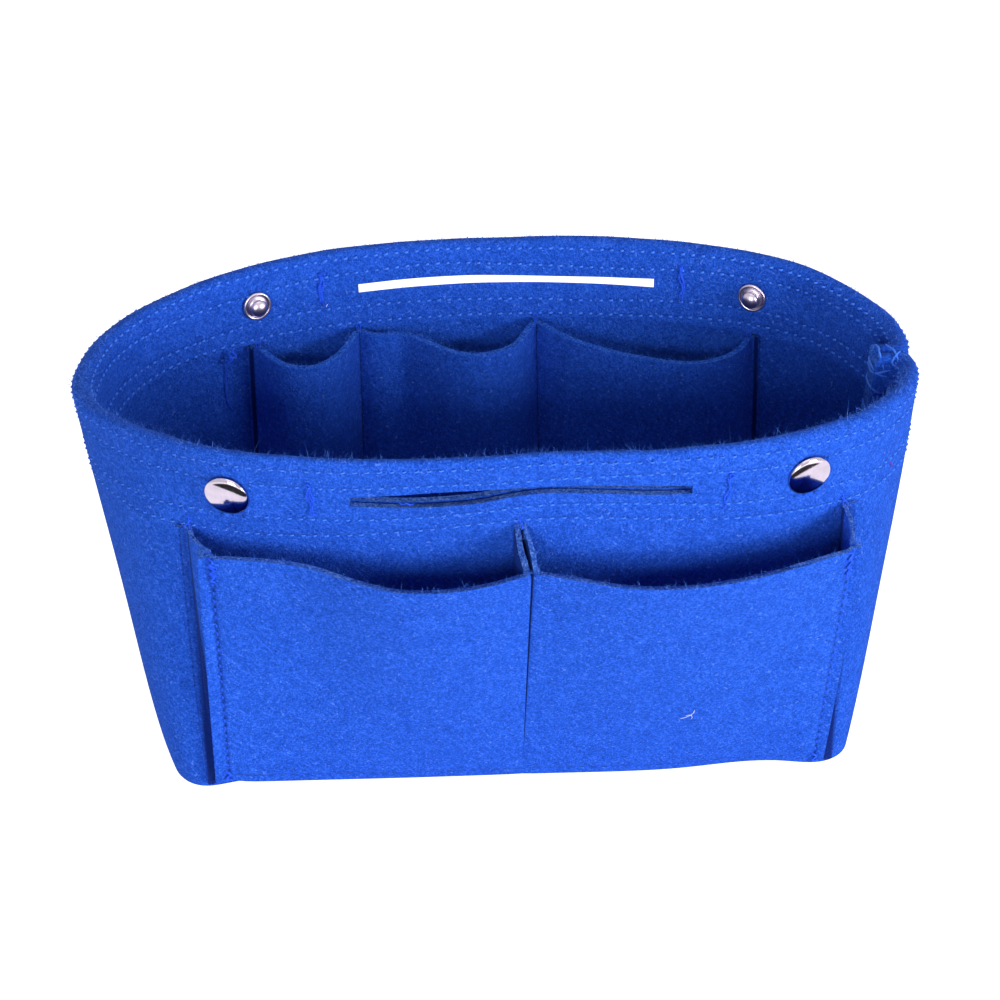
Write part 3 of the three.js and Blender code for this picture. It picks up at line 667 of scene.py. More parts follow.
# The map's first coordinate counts stitches. Its second is a step for each row before the nearest one,
# plus the distance from that row, so that one groove pattern serves all four rows.
from_rows = np.stack([face_drops - row_drop(row, face_turns) for row in range(len(RIM_ROWS))])
nearest = np.abs(from_rows).argmin(0)
off_nearest = np.take_along_axis(from_rows, nearest[None], 0)[0]
across_rows = np.clip(ROW_STEP * nearest + off_nearest, -4.9, 34.9)
wrap_uv = np.stack([face_turns * STITCHES_ROUND, across_rows], -1)

felt_hemmed = felt_material("felt_hemmed", rim_seams)
felt = felt_material("felt")
CUT_TONES = [(0.38, (0.005, 0.036, 0.25)), (0.46, (0.027, 0.105, 0.49))]
CUT_TONES += [(0.54, (0.070, 0.19, 0.64)), (0.64, (0.22, 0.37, 0.80))]
SOFT_CUT_TONES = [(0.38, (0.003, 0.032, 0.30)), (0.47, (0.014, 0.105, 0.60))]
SOFT_CUT_TONES += [(0.55, (0.040, 0.175, 0.78)), (0.66, (0.13, 0.31, 0.94))]
felt_cut = cut_edge_material("felt_cut", CUT_TONES)
felt_cut_soft = cut_edge_material("felt_cut_soft", SOFT_CUT_TONES)
wrap_materials = [felt_hemmed, felt_cut, felt_cut_soft]
wrap = felt_sheet("felt_body_wrap", outer_face, inner_face, wrap_materials, slot_holes, wrap_uv)
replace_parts(wrap, "body_wrap")

# Base panel
# The bag's floor, an oval of the same felt, cut flat. Its edge is turned up inside the wall and sewn
# through both layers.

TURNS_ROUND = 240
FLOOR_WAVE = 0.25  # height of the floor's slow waves from the edge inwards
base_turns = np.arange(TURNS_ROUND) / TURNS_ROUND


def base_grid():
    """Rings from under the middle out to the edge, up the lip, over it and back in along the floor."""
    lip = LIP_HEIGHT / HEIGHT
    out = -ONE_LAYER
    edge = wall(base_turns, 0.0, out)
    inside = wall(base_turns, FELT / HEIGHT, out - FELT)
    inside[:, 2] = FELT
    rings = [edge * share for share in (0.15, 0.4, 0.7, 0.9)]
    rings += [wall(base_turns, lip * share, out) for share in (0, 0.25, 0.5, 0.75, 1)]
    rings += [wall(base_turns, lip * share, out - FELT) for share in (1, 0.8, 0.6, 0.45)]
    for share in (1.0, 0.95, 0.85, 0.7, 0.5, 0.3, 0.12):
        ring = inside * np.array([share, share, 1])
        rings.append(ring + np.array([0, 0, FLOOR_WAVE * math.sin(9 * share)]))
    return np.stack(rings)


base_rings = base_grid()
base_points = np.concatenate([base_rings.reshape(-1, 3), [[0, 0, 0], [0, 0, FELT]]])
under_middle, floor_middle = (np.full(TURNS_ROUND, len(base_points) - k) for k in (2, 1))
ring_start = np.arange(TURNS_ROUND)
ring_next = (ring_start + 1) % TURNS_ROUND
last = (len(base_rings) - 1) * TURNS_ROUND
under_cap = np.stack([ring_next, ring_start, under_middle], 1)
floor_cap = np.stack([last + ring_start, last + ring_next, floor_middle], 1)
base_faces = [ring_quads(len(base_rings), TURNS_ROUND), under_cap, floor_cap]
base_piece = make_piece("felt_base_panel", base_points, base_faces, [felt])
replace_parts(base_piece, "base_panel")

# Front and back pocket strips
# One ribbon of felt each, folded as flange, gusset, panel, pleat, panel, gusset and flange, sewn to
# the wall at its flanges, pleat and foot. The top edges are cut and droop with the panels' lean.

STRIP_RISE = 1 - 30.0 / HEIGHT
STRIP_TOP = STRIP_RISE * HEIGHT
STRIP_FOOT = 2.4  # the strips end this far over the ground
FOOT_DEPTH = 0.6
FOLD_STEPS = 6
STITCH = 3.75  # one machine stitch
FOOT_SEAM = 5.6  # height of the row that holds the strips' feet
INSIDE_FOLD, OUTSIDE_FOLD = 0.12, 0.95  # a fold's radius over the felt's thickness


def ribbon_face(corners, folds, steps, bows, side, thickness, openness):
    """One face of a folded ribbon, level by level: side is 1 for the right face and -1 for the left.

    The middle path moves sideways by half the thickness, with mitred corners. Each fold is a quadratic
    curve, wide outside the turn and tight inside it. Each stretch between is cut in even steps and may
    bow by a half sine wave.
    """
    span = np.diff(corners, axis=1) * np.array([1, 1, 0])
    right = unit(np.stack([span[..., 1], -span[..., 0], 0 * span[..., 0]], -1))
    before = np.concatenate([right[:, :1], right], 1)
    after = np.concatenate([right, right[:, -1:]], 1)
    mitre = (before + after) / np.maximum(1 + np.sum(before * after, -1, keepdims=True), 0.55)
    moved = corners + mitre * (side * np.broadcast_to(thickness, corners.shape[:2]) / 2)[..., None]
    pieces = []
    t = np.linspace(0, 1, FOLD_STEPS + 1)[None, :, None]
    for i, fold in enumerate(folds):
        p = moved[:, i : i + 1]
        if not fold:
            pieces.append(p)
            continue
        back, ahead = moved[:, i - 1 : i] - p, moved[:, i + 1 : i + 2] - p
        turns_right = back[..., 0] * ahead[..., 1] - back[..., 1] * ahead[..., 0] > 0
        reach = np.where(turns_right == (side > 0), INSIDE_FOLD, OUTSIDE_FOLD) * FELT
        room = 0.38 * np.minimum(np.linalg.norm(back, axis=-1), np.linalg.norm(ahead, axis=-1))
        radius = (np.minimum(reach, room) * np.maximum(openness, 0.04)[:, None])[..., None]
        start, end = p + unit(back) * radius, p + unit(ahead) * radius
        pieces.append((1 - t) ** 2 * start + 2 * t * (1 - t) * p + t**2 * end)
    columns = [pieces[0]]
    for i, count in enumerate(steps):
        start, end = pieces[i][:, -1:], pieces[i + 1][:, :1]
        share = (np.arange(1, count) / count)[None, :, None]
        between = start + (end - start) * share
        if bows[i] is not None:
            between = between + bows[i][:, None] * np.sin(math.pi * share)
        columns += [between, pieces[i + 1]]
    return np.concatenate(columns, 1)


def outer_place(x, rise, stand_off, out):
    """A point of the front strip: off the wall in plan, then straight out, and lowered as it leans.

    The felt keeps its slant length from the foot, so its height is the root of that length squared less
    the square of its run.
    """
    turn = turn_at(FITTINGS_SHIFT + x, rise, True)
    p = wall(turn, rise, out)
    head, foot = wall_line(turn, rise), wall_line(turn, 0 * rise)
    run = np.abs(head[..., 1] - foot[..., 1])
    leant = np.hypot(head[..., 2], run) ** 2 - (run + stand_off) ** 2
    p[..., 2] += np.where(leant > 0, np.sqrt(np.maximum(leant, 0)) - head[..., 2], 0.0)
    p[..., 1] -= stand_off
    return p


FLANGE_FELT = 2.0  # the flange's thickness under its stitches
PRESSED = 0.62  # share of the thickness left under the stitches of a pinched corner
PLEAT_SLIT, PLEAT_FELT = 0.15, 2.6  # the pleat's plies are pressed
PLEAT_SKEW = 2.6  # the pleat's mouth stands this far right of its seam at the top
PLEAT_LIFT = 4.6  # the pleat's seam is sewn on higher than the flanges
PLEAT_TAPER = 0.2  # the plies' share pressed away where the pleat meets the wall, at the top

# Each pocket's distances from the middle line, at the foot and at the top, how far the felt runs on
# beyond the stitches, where its foot lifts off (x, spread, height), and how far its top stands off.
LEFT_POCKET = {
    "flange": (104.6, 107.6),
    "wall_fold": (103.0, 103.3),
    "stitches": (98.4, 96.2),
    "pinch": 2.6,
    "foot_lift": (101.0, 7.0, 2.2),
    "depths": [(2, 15), (14, 18.3), (25, 19.8), (41, 19.2), (53, 15.8), (65, 11.8), (80, 10.6)]
    + [(90, 11.6), (100.5, 13.6)],
}
RIGHT_POCKET = {
    "flange": (104.0, 107.4),
    "wall_fold": (102.4, 103.0),
    "stitches": (98.6, 102.4),
    "pinch": 1.6,
    "foot_lift": (86.0, 30.0, 1.7),
    "depths": [(2, 14.6), (14, 17.4), (30, 20.8), (46, 22.5), (62, 22.8), (78, 22.1), (94, 21.3), (107, 21.6)],
}
NEAR_PINCH = [0.7, 1.4, 2.2, 2.9, 3.6, 4.5, 6.0, 8.0]  # the panel's closer columns, from its ridge
PANEL_STEPS = 30


def outer_half(rises, pocket):
    """Half a strip from its flange to the pleat, as x and stand-off of its middle line.

    The front corner is pinched: the felt runs past its stitches, turns back on itself and returns.
    The panel's stand-off grows with the height from its foot to a curve through the top's depths, with
    a narrow bell-shaped dent along the stitches, where the felt is thinner by a wider bell.
    """
    openness = (rises / STRIP_RISE)[:, None]
    lines = [pocket[key] for key in ("flange", "wall_fold", "stitches")]
    flange, wall_fold, stitch = (foot + (top - foot) * openness for foot, top in lines)
    ridge = stitch + pocket["pinch"]
    slit = (PLEAT_SLIT * 0.4 + PLEAT_FELT) / 2
    near = ridge - np.array([NEAR_PINCH])
    panel_share = np.linspace(0, 1, PANEL_STEPS + 1)[None, 1:]
    panel_x = np.concatenate([near, near[:, -1:] + (slit - near[:, -1:]) * panel_share], 1)

    def pressed(x):
        """The felt's thickness, thinned at the stitches."""
        return FELT * (1 - (1 - PRESSED) * np.exp(-(((x - stitch) / 3.2) ** 2)))

    def depth(x):
        """How far the panel stands off, less the dent."""
        top = curve_through(pocket["depths"], x)
        dent = 1.0 * np.exp(-(((x - stitch) / 1.0) ** 2)) * np.sqrt(openness)
        return FOOT_DEPTH + (top - FOOT_DEPTH) * openness**1.05 - dent

    def under(x):
        """The place of the felt that is turned back under the panel."""
        return np.maximum(depth(x) - pressed(x) - 0.1, 0.1)

    flat = 0 * openness
    seam_felt = PLEAT_FELT * (1 - PLEAT_TAPER * openness)
    wall_slit = flat + (PLEAT_SLIT + seam_felt) / 2
    x = np.concatenate([flange, (flange + wall_fold) / 2, wall_fold, stitch, ridge, ridge, panel_x, wall_slit], 1)
    d = [flat] * 3 + [under(stitch), under(ridge), depth(ridge), depth(panel_x), flat]
    thick = np.concatenate([pressed(x[:, :-1]), flat + FELT], 1)
    thick[:, :3] = FLANGE_FELT
    thick[:, -2:], thick[:, -1:] = PLEAT_FELT, seam_felt
    skew = PLEAT_SKEW * openness * np.exp(-(((x - slit) / 22) ** 2))
    lift = np.zeros(x.shape)
    skew[:, -1:], lift[:, -1:] = -0.3 * openness, PLEAT_LIFT * openness**5
    middle, spread, height = pocket["foot_lift"]
    off_flange = np.arange(x.shape[1]) > 2
    lift += height * np.exp(-(((x - middle) / spread) ** 2)) * (1 - openness) ** 6 * off_flange
    return x, np.concatenate(d, 1), thick, skew, lift


def cut_thin(rises, thickness):
    """The blade presses a strip's top edge a little thinner, by a bell 1.3 mm high."""
    return thickness * (1 - 0.28 * np.exp(-(((STRIP_RISE - rises) * HEIGHT / 1.3) ** 2)))[:, None]


def outer_strip(rises, left, right):
    """Both faces of an outer strip, from the left flange over the pleat to the right flange.

    The columns are the flange's three, the wall's stitches, the ridge twice, the panel and the slit.
    Folds are rounded at the gusset, the pinch and the pleat, and the gussets and the pleat's plies bow.
    """
    halves, thick = [], []
    openness = (rises / STRIP_RISE)[:, None]
    for side, pocket in ((-1, left), (1, right)):
        x, d, thickness, skew, lift = outer_half(rises, pocket)
        flange_thick = np.where(np.arange(x.shape[1]) < 3, thickness, FELT)
        points = outer_place(side * x + skew, rises[:, None], d, SEWN_GAP + flange_thick / 2)
        points[..., 2] += lift
        halves.append(points if side < 0 else points[:, ::-1])
        thick.append(thickness if side < 0 else thickness[:, ::-1])
    corners, thickness = np.concatenate(halves, 1), np.concatenate(thick, 1)
    half = halves[0].shape[1]
    whole = 2 * half
    folds, steps, bows = [False] * whole, [1] * (whole - 1), [None] * (whole - 1)
    for i in (2, 3, 4, 5, half - 2, half - 1):
        folds[i] = folds[whole - 1 - i] = True
    for i in (2, half - 2):
        steps[i] = steps[whole - 2 - i] = 8
    for i in range(5 + len(NEAR_PINCH), half - 2):
        steps[i] = steps[whole - 2 - i] = 2
    bulge = openness * np.array([[1.0, 0, 0]])
    swell = np.sqrt(openness) * np.array([[1.0, -0.8, 0]])
    bows[half - 2], bows[half] = -0.45 * bulge, 0.45 * bulge
    bows[2], bows[whole - 4] = swell * np.array([[-1, 1, 1]]), swell
    thickness = cut_thin(rises, thickness)
    return [ribbon_face(corners, folds, steps, bows, side, thickness, openness[:, 0]) for side in (1, -1)]


FOOT_RISE = 0.06  # the strips' rows start even steps here
foot_rises = np.linspace(STRIP_FOOT / HEIGHT, FOOT_RISE, 4)[:-1]
strip_rises = np.concatenate([foot_rises, np.linspace(FOOT_RISE, STRIP_RISE, 52)])
front_faces = outer_strip(strip_rises, LEFT_POCKET, RIGHT_POCKET)

CREASE_COLUMN, PANEL_START, PANEL_END, PLEAT_START = 5, 36, 105, 108  # columns from either end
CREASE_REACH, PINCH_LINE, PLAIN, PLEAT_LINE = 5.0, 10.0, 14.9, 20.0  # places on the strip's map


def strip_map(face, left, right):
    """The strip's map: how far across a crease (0) or a pinched corner (10), and the height up the felt.

    The first is the length walked over the felt from the crease, or the distance in x from the corner's
    stitches, and a fixed value on the plain panel and in the pleat.
    """
    walked = np.cumsum(np.linalg.norm(np.diff(face, axis=1, prepend=face[:, :1]), axis=2), 1)
    columns = face.shape[1]
    across = np.full(face.shape[:2], PLAIN)
    for side, pocket in ((-1, left), (1, right)):
        foot, top = pocket["stitches"]
        pinch = foot + (top - foot) * strip_rises / STRIP_RISE
        crease = CREASE_COLUMN if side < 0 else columns - 1 - CREASE_COLUMN
        from_crease = np.minimum(-side * (walked - walked[:, crease : crease + 1]), CREASE_REACH)
        from_pinch = PINCH_LINE + pinch[:, None] - side * (face[..., 0] - FITTINGS_SHIFT)
        index = np.arange(columns) if side < 0 else columns - 1 - np.arange(columns)
        found = np.where(index < PANEL_START, from_crease, np.clip(from_pinch, 6.0, PLAIN))
        found = np.where(index >= PLEAT_START, PLEAT_LINE, found)
        across = np.where(index < columns // 2, found, across)
    return np.stack([across, np.broadcast_to(strip_rises[:, None] * HEIGHT, across.shape)], -1)


def strip_seams(shade):
    """Creases along the flanges and the pleat, stitches down the pinched corners and along the foot.

    The gusset's crease widens toward the foot, and painted shade darkens it, the pleat and the hollow of the
    flange beside it.
    """
    across, height = map_axes(shade)
    wider_below = (across - 1.6) * (height * 0.006 + 0.26)
    gusset = near_line(wider_below, 0.0, 1.9).between(0.0, 0.5)
    crease = gusset.maths("MAXIMUM", across.between(15.5, 19.0))
    flange = near_line(across, -2.6, 0.7)
    hollow_shade = near_line(across, -1.0, 3.0)
    groove = near_line(across, PINCH_LINE, 1.1)
    foot = near_line(height, FOOT_SEAM, 0.9) * across.between(11.5, 12.5)
    pits = (groove + flange) * needle_holes(height * (1 / STITCH)) + foot * 0.5
    # Painted shade: how dark the creases, the pleat, the hollow, the grooves and the needle holes are drawn.
    dark = crease * 1.1 + hollow_shade * 0.5 + groove * 0.45 + flange * 0.4 + pits * 0.45
    dark = dark.maths("MINIMUM", 0.95)
    return groove.maths("MAXIMUM", foot).maths("MAXIMUM", crease), pits, dark


felt_creased = felt_material("felt_creased", strip_seams)
front_map = strip_map(front_faces[0], LEFT_POCKET, RIGHT_POCKET)
front_strip = felt_sheet("felt_front_pocket_strip", *front_faces, [felt_creased, felt_cut], uv=front_map)
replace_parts(front_strip, "front_pocket_strip")

back_pockets = (RIGHT_POCKET, LEFT_POCKET)
back_faces = [face * np.array([1, -1, 1]) for face in outer_strip(strip_rises, *back_pockets)]
back_map = strip_map(back_faces[0], *back_pockets)
back_strip = felt_sheet("felt_back_pocket_strip", *back_faces[::-1], [felt_creased, felt_cut], uv=back_map)
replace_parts(back_strip, "back_pocket_strip")

# Inner pocket strip
# One ribbon of felt sewn to the inside of the back wall at four lines, under the hem. It is longer than
# the wall between them, so three pockets belly into the bag.

SEWN_LINES = (-90.3, -53.5, 11.2, 88.9)
INNER_BELLIES = [
    [(-83, 13.2), (-74, 20.4), (-63, 18.6), (-58, 12.4)],
    [(-49, 4), (-35, 7), (-30, 11.4), (-19, 19.9), (-11, 22.2), (-3.5, 20.7), (4, 15.6)],
    [(19.5, 10.2), (32, 18.2), (50, 23.3), (64, 24), (72, 21.6), (80.5, 15.4), (85, 9.2)],
]
INNER_FELT = 2.6  # the hand-pressed inner strip is a little thinner
INNER_FLANGE, INNER_FLANGE_FELT, INNER_FLANGE_PRESS = 3.4, 1.4, 0.6
INNER_COLUMN = 1.6  # width of one of its columns


def inner_strip(rises):
    """Both faces, from right to left, of a ribbon that bellies off the wall between its sewn lines.

    A belly is a curve through its depths times the root of the height, and the felt sinks as it leans,
    by the belly squared over twice the bag's height.
    """
    openness = (rises - rises[0]) / (STRIP_RISE - rises[0])
    rise = rises[:, None]

    def place(x, belly):
        """Points on the inside of the back wall, moved off it by a belly."""
        turn = turn_at(FITTINGS_SHIFT + x, rise, False)
        p = wall(turn, np.broadcast_to(rise, turn.shape), -ONE_LAYER - FELT / 2)
        p[..., 1] -= belly
        p[..., 2] -= belly**2 / (2 * HEIGHT)
        return p

    blank = np.zeros((len(rises), 1))
    sewn = SEWN_LINES[::-1]
    stretches = [place(blank + sewn[0] + INNER_FLANGE, blank - INNER_FLANGE_PRESS)]
    folds = [False]
    for belly, right, left in zip(INNER_BELLIES[::-1], sewn[:-1], sewn[1:]):
        depths = [(left, 0), *belly, (right, 0)]
        count = int((right - left) / INNER_COLUMN)
        x = right + (left - right) * np.arange(count)[None, :] / count + blank
        stretches.append(place(x, curve_through(depths, x) * np.sqrt(openness)[:, None]))
        folds += [True] + [False] * (count - 1)
    stretches.append(place(blank + sewn[-1], blank))
    stretches.append(place(blank + sewn[-1] - INNER_FLANGE, blank - INNER_FLANGE_PRESS))
    folds += [True, False]
    corners = np.concatenate(stretches, 1)
    steps = [1] * (corners.shape[1] - 1)
    thickness = np.full(corners.shape[:2], INNER_FELT)
    thickness[:, [0, -1]] = INNER_FLANGE_FELT
    bows = [None] * len(steps)
    return [ribbon_face(corners, folds, steps, bows, side, thickness, openness) for side in (1, -1)]


def inner_map(face):
    """The inner strip's map: how far a point is from the nearest sewn line, and its height.

    On the two flanges the distance counts below zero.
    """
    lines = np.array(SEWN_LINES)
    x = face[..., 0] - FITTINGS_SHIFT
    away = np.minimum(np.abs(x[..., None] - lines).min(-1), 5.0)
    on_flange = (x < lines[0] - 0.1) | (x > lines[-1] + 0.1)
    return np.stack([np.where(on_flange, -away, away), face[..., 2]], -1)


def inner_seams(shade):
    """Painted shade: a dark crease along each sewn line and a dark line along both edges of each flange."""
    away = map_axes(shade)[0]
    crease = near_line(away, 0.1, 1.5)
    edges = near_line(away, -0.5, 1.5).between(0.0, 0.4)
    edges = edges + near_line(away, -INNER_FLANGE, 1.6).between(0.0, 0.4)
    # The third value, the darkening, is painted shade in the creases and along the flanges' edges.
    return crease, crease * 0.0, (crease + edges).maths("MINIMUM", 1.0) * 0.97


inner_rises = np.linspace((LIP_HEIGHT + 2 * SEWN_GAP) / HEIGHT, STRIP_RISE, 50)
inner_faces = inner_strip(inner_rises)
inner_materials = [felt_material("felt_inner", inner_seams), felt_cut_soft]
inner_uv = inner_map(inner_faces[0])
inner_pockets = felt_sheet("felt_inner_pocket_strip", *inner_faces, inner_materials, uv=inner_uv)
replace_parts(inner_pockets, "inner_pocket_strip")

# Press studs
# Stamped brass, nickel plated and polished: a domed cap with its post and a socket with a wire spring
# through the front, a ball stud and an eyelet through the back.

CAP_HEIGHT = 2.5
SEAT = 0.5  # the pieces' lowest ring over the felt
SHEET = 0.5  # thickness of the stamped brass
BALL = 3.0  # radius of the stud's ball
SPRING = 0.35  # radius of the spring's wire
POST = 2.0
SOCKET_BORE, SOCKET_DEPTH = 2.3, 4.4
STUD_FLANGE, STUD_HEIGHT, STUD_ROLL = 5.1, 4.6, 0.6
EYELET_BORE = 1.3
FLANGE_ROLL = 0.5  # radius of a flange's rolled edge
SPRING_ROOM = 0.3  # the spring opens into this groove as the ball passes


def nickel_material(name, polish):
    """Nickel plate, a warm grey mirror with faint handling haze; polish is its least roughness."""
    material, shade = new_material(name)
    place = object_place(shade)
    haze = noise(shade, place, 260.0, 3.0, 0.6)
    fine = noise(shade, place, 1400.0, 2.0, 0.5)
    colour = haze.between(0.35, 0.7).blend((0.50, 0.44, 0.53, 1), (0.60, 0.52, 0.62, 1))
    bump = shade.node("Bump", {}, {"Strength": 0.04, "Distance": 0.0002, "Height": fine})
    inputs = {"Base Color": colour, "Metallic": 1.0, "Roughness": haze * 0.08 + polish}
    return surfaced(material, shade, {**inputs, "Normal": bump})


def spring_material():
    """Drawn spring wire: bright steel with fine lines."""
    material, shade = new_material("spring_wire")
    place = object_place(shade)
    lines = noise(shade, place, 2600.0, 2.0, 0.6)
    colour = lines.blend((0.42, 0.42, 0.44, 1), (0.66, 0.66, 0.68, 1))
    inputs = {"Base Color": colour, "Metallic": 1.0, "Roughness": lines * 0.15 + 0.22}
    return surfaced(material, shade, inputs)


nickel = nickel_material("nickel_plate", 0.06)
nickel_satin = nickel_material("nickel_satin", 0.26)
spring_wire = spring_material()


def lathe(profile, sides=64):
    """Points and faces of a profile of radius and height turned round its axis; a zero radius is a pole."""
    radius, height = np.array(profile, float).T[:, :, None]
    angle = np.arange(sides) * 2 * math.pi / sides
    rings = np.stack([radius * np.cos(angle), radius * np.sin(angle), height + 0 * angle], -1)
    return rings.reshape(-1, 3), ring_quads(len(profile), sides)


def arc(centre, radius, start, end, steps, squash=1.0):
    """Profile points on an arc, angles in degrees from the radius axis."""
    angles = np.radians(np.linspace(start, end, steps))
    return [(centre[0] + radius * math.cos(a), centre[1] + radius * squash * math.sin(a)) for a in angles]


def set_in(points, snap, inside):
    """Puts points drawn round the origin, with z off the felt, on the wall's outside or inside."""
    origin, along, up, outward = snap
    if inside:
        origin, along, outward = origin - outward * HEM_THICKNESS, -along, -outward
    return origin + points @ np.stack([along, up, outward])


def merge_poles(piece):
    """Merges doubled points and turns all faces outwards."""
    work = bmesh.new()
    work.from_mesh(piece.data)
    bmesh.ops.remove_doubles(work, verts=work.verts, dist=1e-7)
    bmesh.ops.dissolve_degenerate(work, edges=work.edges, dist=1e-8)
    bmesh.ops.recalc_face_normals(work, faces=work.faces)
    work.to_mesh(piece.data)
    work.free()


def snap_piece(name, profile, snap, inside, material, node):
    """A turned press stud piece, its doubled poles merged, in place of its CAD node."""
    points, quads = lathe(profile)
    piece = make_piece(name, set_in(points, snap, inside), [quads], [material])
    merge_poles(piece)
    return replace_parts(piece, node)


cap_edge = SEAT + 2 * SHEET - 0.35
cap_squash = (CAP_HEIGHT + SEAT - cap_edge) / CAP_RADIUS
post_end = -HEM_THICKNESS - SEAT - SHEET
cap_profile = [
    (0, post_end),
    *arc((POST - 0.4, post_end + 0.4), 0.4, -90, 0, 5),
    (POST, SEAT),
    *arc((CAP_RADIUS - 0.35, SEAT + 0.35), 0.35, -90, 30, 8),
    *arc((0, cap_edge), CAP_RADIUS - 0.05, 6, 90, 26, cap_squash),
]
cap_profile[-1] = (0, cap_profile[-1][1])
groove = BALL + 2 * SPRING + SPRING_ROOM
cup = groove + SHEET
spring_height = SEAT + 2.2 + SPRING
socket_top = SEAT + SOCKET_DEPTH
socket_profile = [
    (SOCKET_BORE, SEAT),
    *arc((SOCKET_FLANGE - FLANGE_ROLL, SEAT + FLANGE_ROLL), FLANGE_ROLL, -90, 90, 9),
    (cup + 0.6, SEAT + 2 * FLANGE_ROLL),
    *arc((cup + 0.6, SEAT + 1.6), 0.6, -90, -180, 6),
    *arc((cup - 0.45, socket_top - 0.45), 0.45, 0, 90, 6),
    *arc((BALL + SPRING + 0.35, socket_top - 0.35), 0.35, 90, 180, 6),
    (BALL + SPRING, spring_height + 0.65),
    (groove, spring_height + 0.65),
    (groove, spring_height - 0.65),
    (BALL + SPRING, spring_height - 0.65),
    (BALL + SPRING, SEAT + 2 * SHEET),
    (SOCKET_BORE, SEAT + 2 * SHEET),
    (SOCKET_BORE, SEAT),
]
BALL_SQUASH = 0.55
ball_middle = SEAT + STUD_HEIGHT - BALL_SQUASH * BALL
stud_profile = [
    (0, SEAT),
    *arc((STUD_FLANGE - STUD_ROLL, SEAT + STUD_ROLL), STUD_ROLL, -90, 150, 14),
    (4.2, SEAT + 0.55),
    (3.9, SEAT + SHEET),
    (3.1, SEAT + SHEET + 0.1),
    *arc((2.9, SEAT + 1.4), 0.75, -90, -180, 6),
    *arc((0, ball_middle), BALL, -44, 90, 20, BALL_SQUASH),
]
stud_profile[-1] = (0, stud_profile[-1][1])
barrel, barrel_end = EYELET_BORE + SHEET, -HEM_THICKNESS - 0.2
eyelet_profile = [
    (EYELET_BORE, barrel_end),
    (barrel, barrel_end),
    (barrel, SEAT),
    *arc((EYELET_FLANGE - FLANGE_ROLL, SEAT + FLANGE_ROLL), FLANGE_ROLL, -90, 90, 9),
    (barrel + 0.9, SEAT + 1.3),
    *arc((barrel + 0.15, SEAT + 0.85), 0.65, 70, 180, 8),
    (EYELET_BORE, barrel_end),
]
for side in SNAPS:
    front, back = front_snaps[side], back_snaps[side]
    snap_piece("cap_" + side, cap_profile, front, False, nickel, "snap_cap_" + side)
    snap_piece("socket_" + side, socket_profile, front, True, nickel, "snap_socket_" + side)
    snap_piece("stud_" + side, stud_profile, back, True, nickel_satin, "snap_stud_" + side)
    snap_piece("eyelet_" + side, eyelet_profile, back, False, nickel, "snap_eyelet_" + side)


def tube(path, radius, sides=6):
    """A thread: rings of points carried along a path, closed by a face at each end."""
    path = np.asarray(path, float)
    ahead = unit(np.gradient(path, axis=0))
    spare = np.eye(3)[np.argmin(np.abs(ahead).sum(0))]
    first = unit(np.cross(ahead, spare))
    second = np.cross(ahead, first)
    angle = np.arange(sides) * 2 * math.pi / sides
    radius = np.broadcast_to(radius, len(path))[:, None, None]
    ring = np.cos(angle)[None, :, None] * first[:, None] + np.sin(angle)[None, :, None] * second[:, None]
    points = path[:, None] + ring * radius
    around = np.arange(sides)
    ends = np.stack([around[::-1], (len(path) - 1) * sides + around])
    return points.reshape(-1, 3), [ring_quads(len(path), sides), ends]


SPRING_SPLIT = 0.35  # the ring's gap, in radians
round_ring = np.linspace(SPRING_SPLIT / 2, 2 * math.pi - SPRING_SPLIT / 2, 60)
ring_line = np.stack([np.cos(round_ring), np.sin(round_ring), 0 * round_ring], -1)
spring_path = ring_line * (BALL + SPRING) + np.array([0, 0, spring_height])
for side in SNAPS:
    points, faces = tube(spring_path, SPRING, 12)
    spring = make_piece("spring_" + side, set_in(points, front_snaps[side], True), faces, [spring_wire])
    merge_poles(spring)
    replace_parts(spring, "socket_spring_" + side)

# Machine stitching
# Blue polyester thread in even stitches: four rows round the rim, which hold the hem and show on the
# wall's outside and on the hem.


def thread_material(name, dark, light):
    """Blue thread, a little shinier than the felt, with its twist as fine bands."""
    material, shade = new_material(name)
    place = object_place(shade)
    twist = noise(shade, place, 2400.0, 2.0, 0.6)
    colour = twist.between(0.3, 0.7).blend(dark, light)
    bump = shade.node("Bump", {}, {"Strength": 0.5, "Distance": 0.0001, "Height": twist})
    inputs = {"Base Color": colour, "Roughness": 0.7, "Specular IOR Level": 0.2, "Normal": bump}
    return surfaced(material, shade, inputs)


thread = thread_material("thread", (0.018, 0.125, 0.70, 1), (0.07, 0.25, 1.0, 1))
thread_inside = thread_material("thread_inside", (0.022, 0.140, 0.76, 1), (0.08, 0.27, 1.0, 1))
STITCH_X = np.array([-1.10, -0.85, -0.42, 0.0, 0.42, 0.85, 1.10])
STITCH_Z = np.array([-0.60, -0.12, 0.12, 0.18, 0.12, -0.12, -0.60])
STITCH_RADIUS = np.array([0.18, 0.26, 0.31, 0.33, 0.31, 0.26, 0.18])
STITCH_SIDES = 6


def repeated(faces, count, points_each):
    """The faces of one shape, numbered for each of many copies."""
    offsets = (np.arange(count) * points_each)[:, None, None]
    return (faces[None] + offsets).reshape(-1, faces.shape[1])


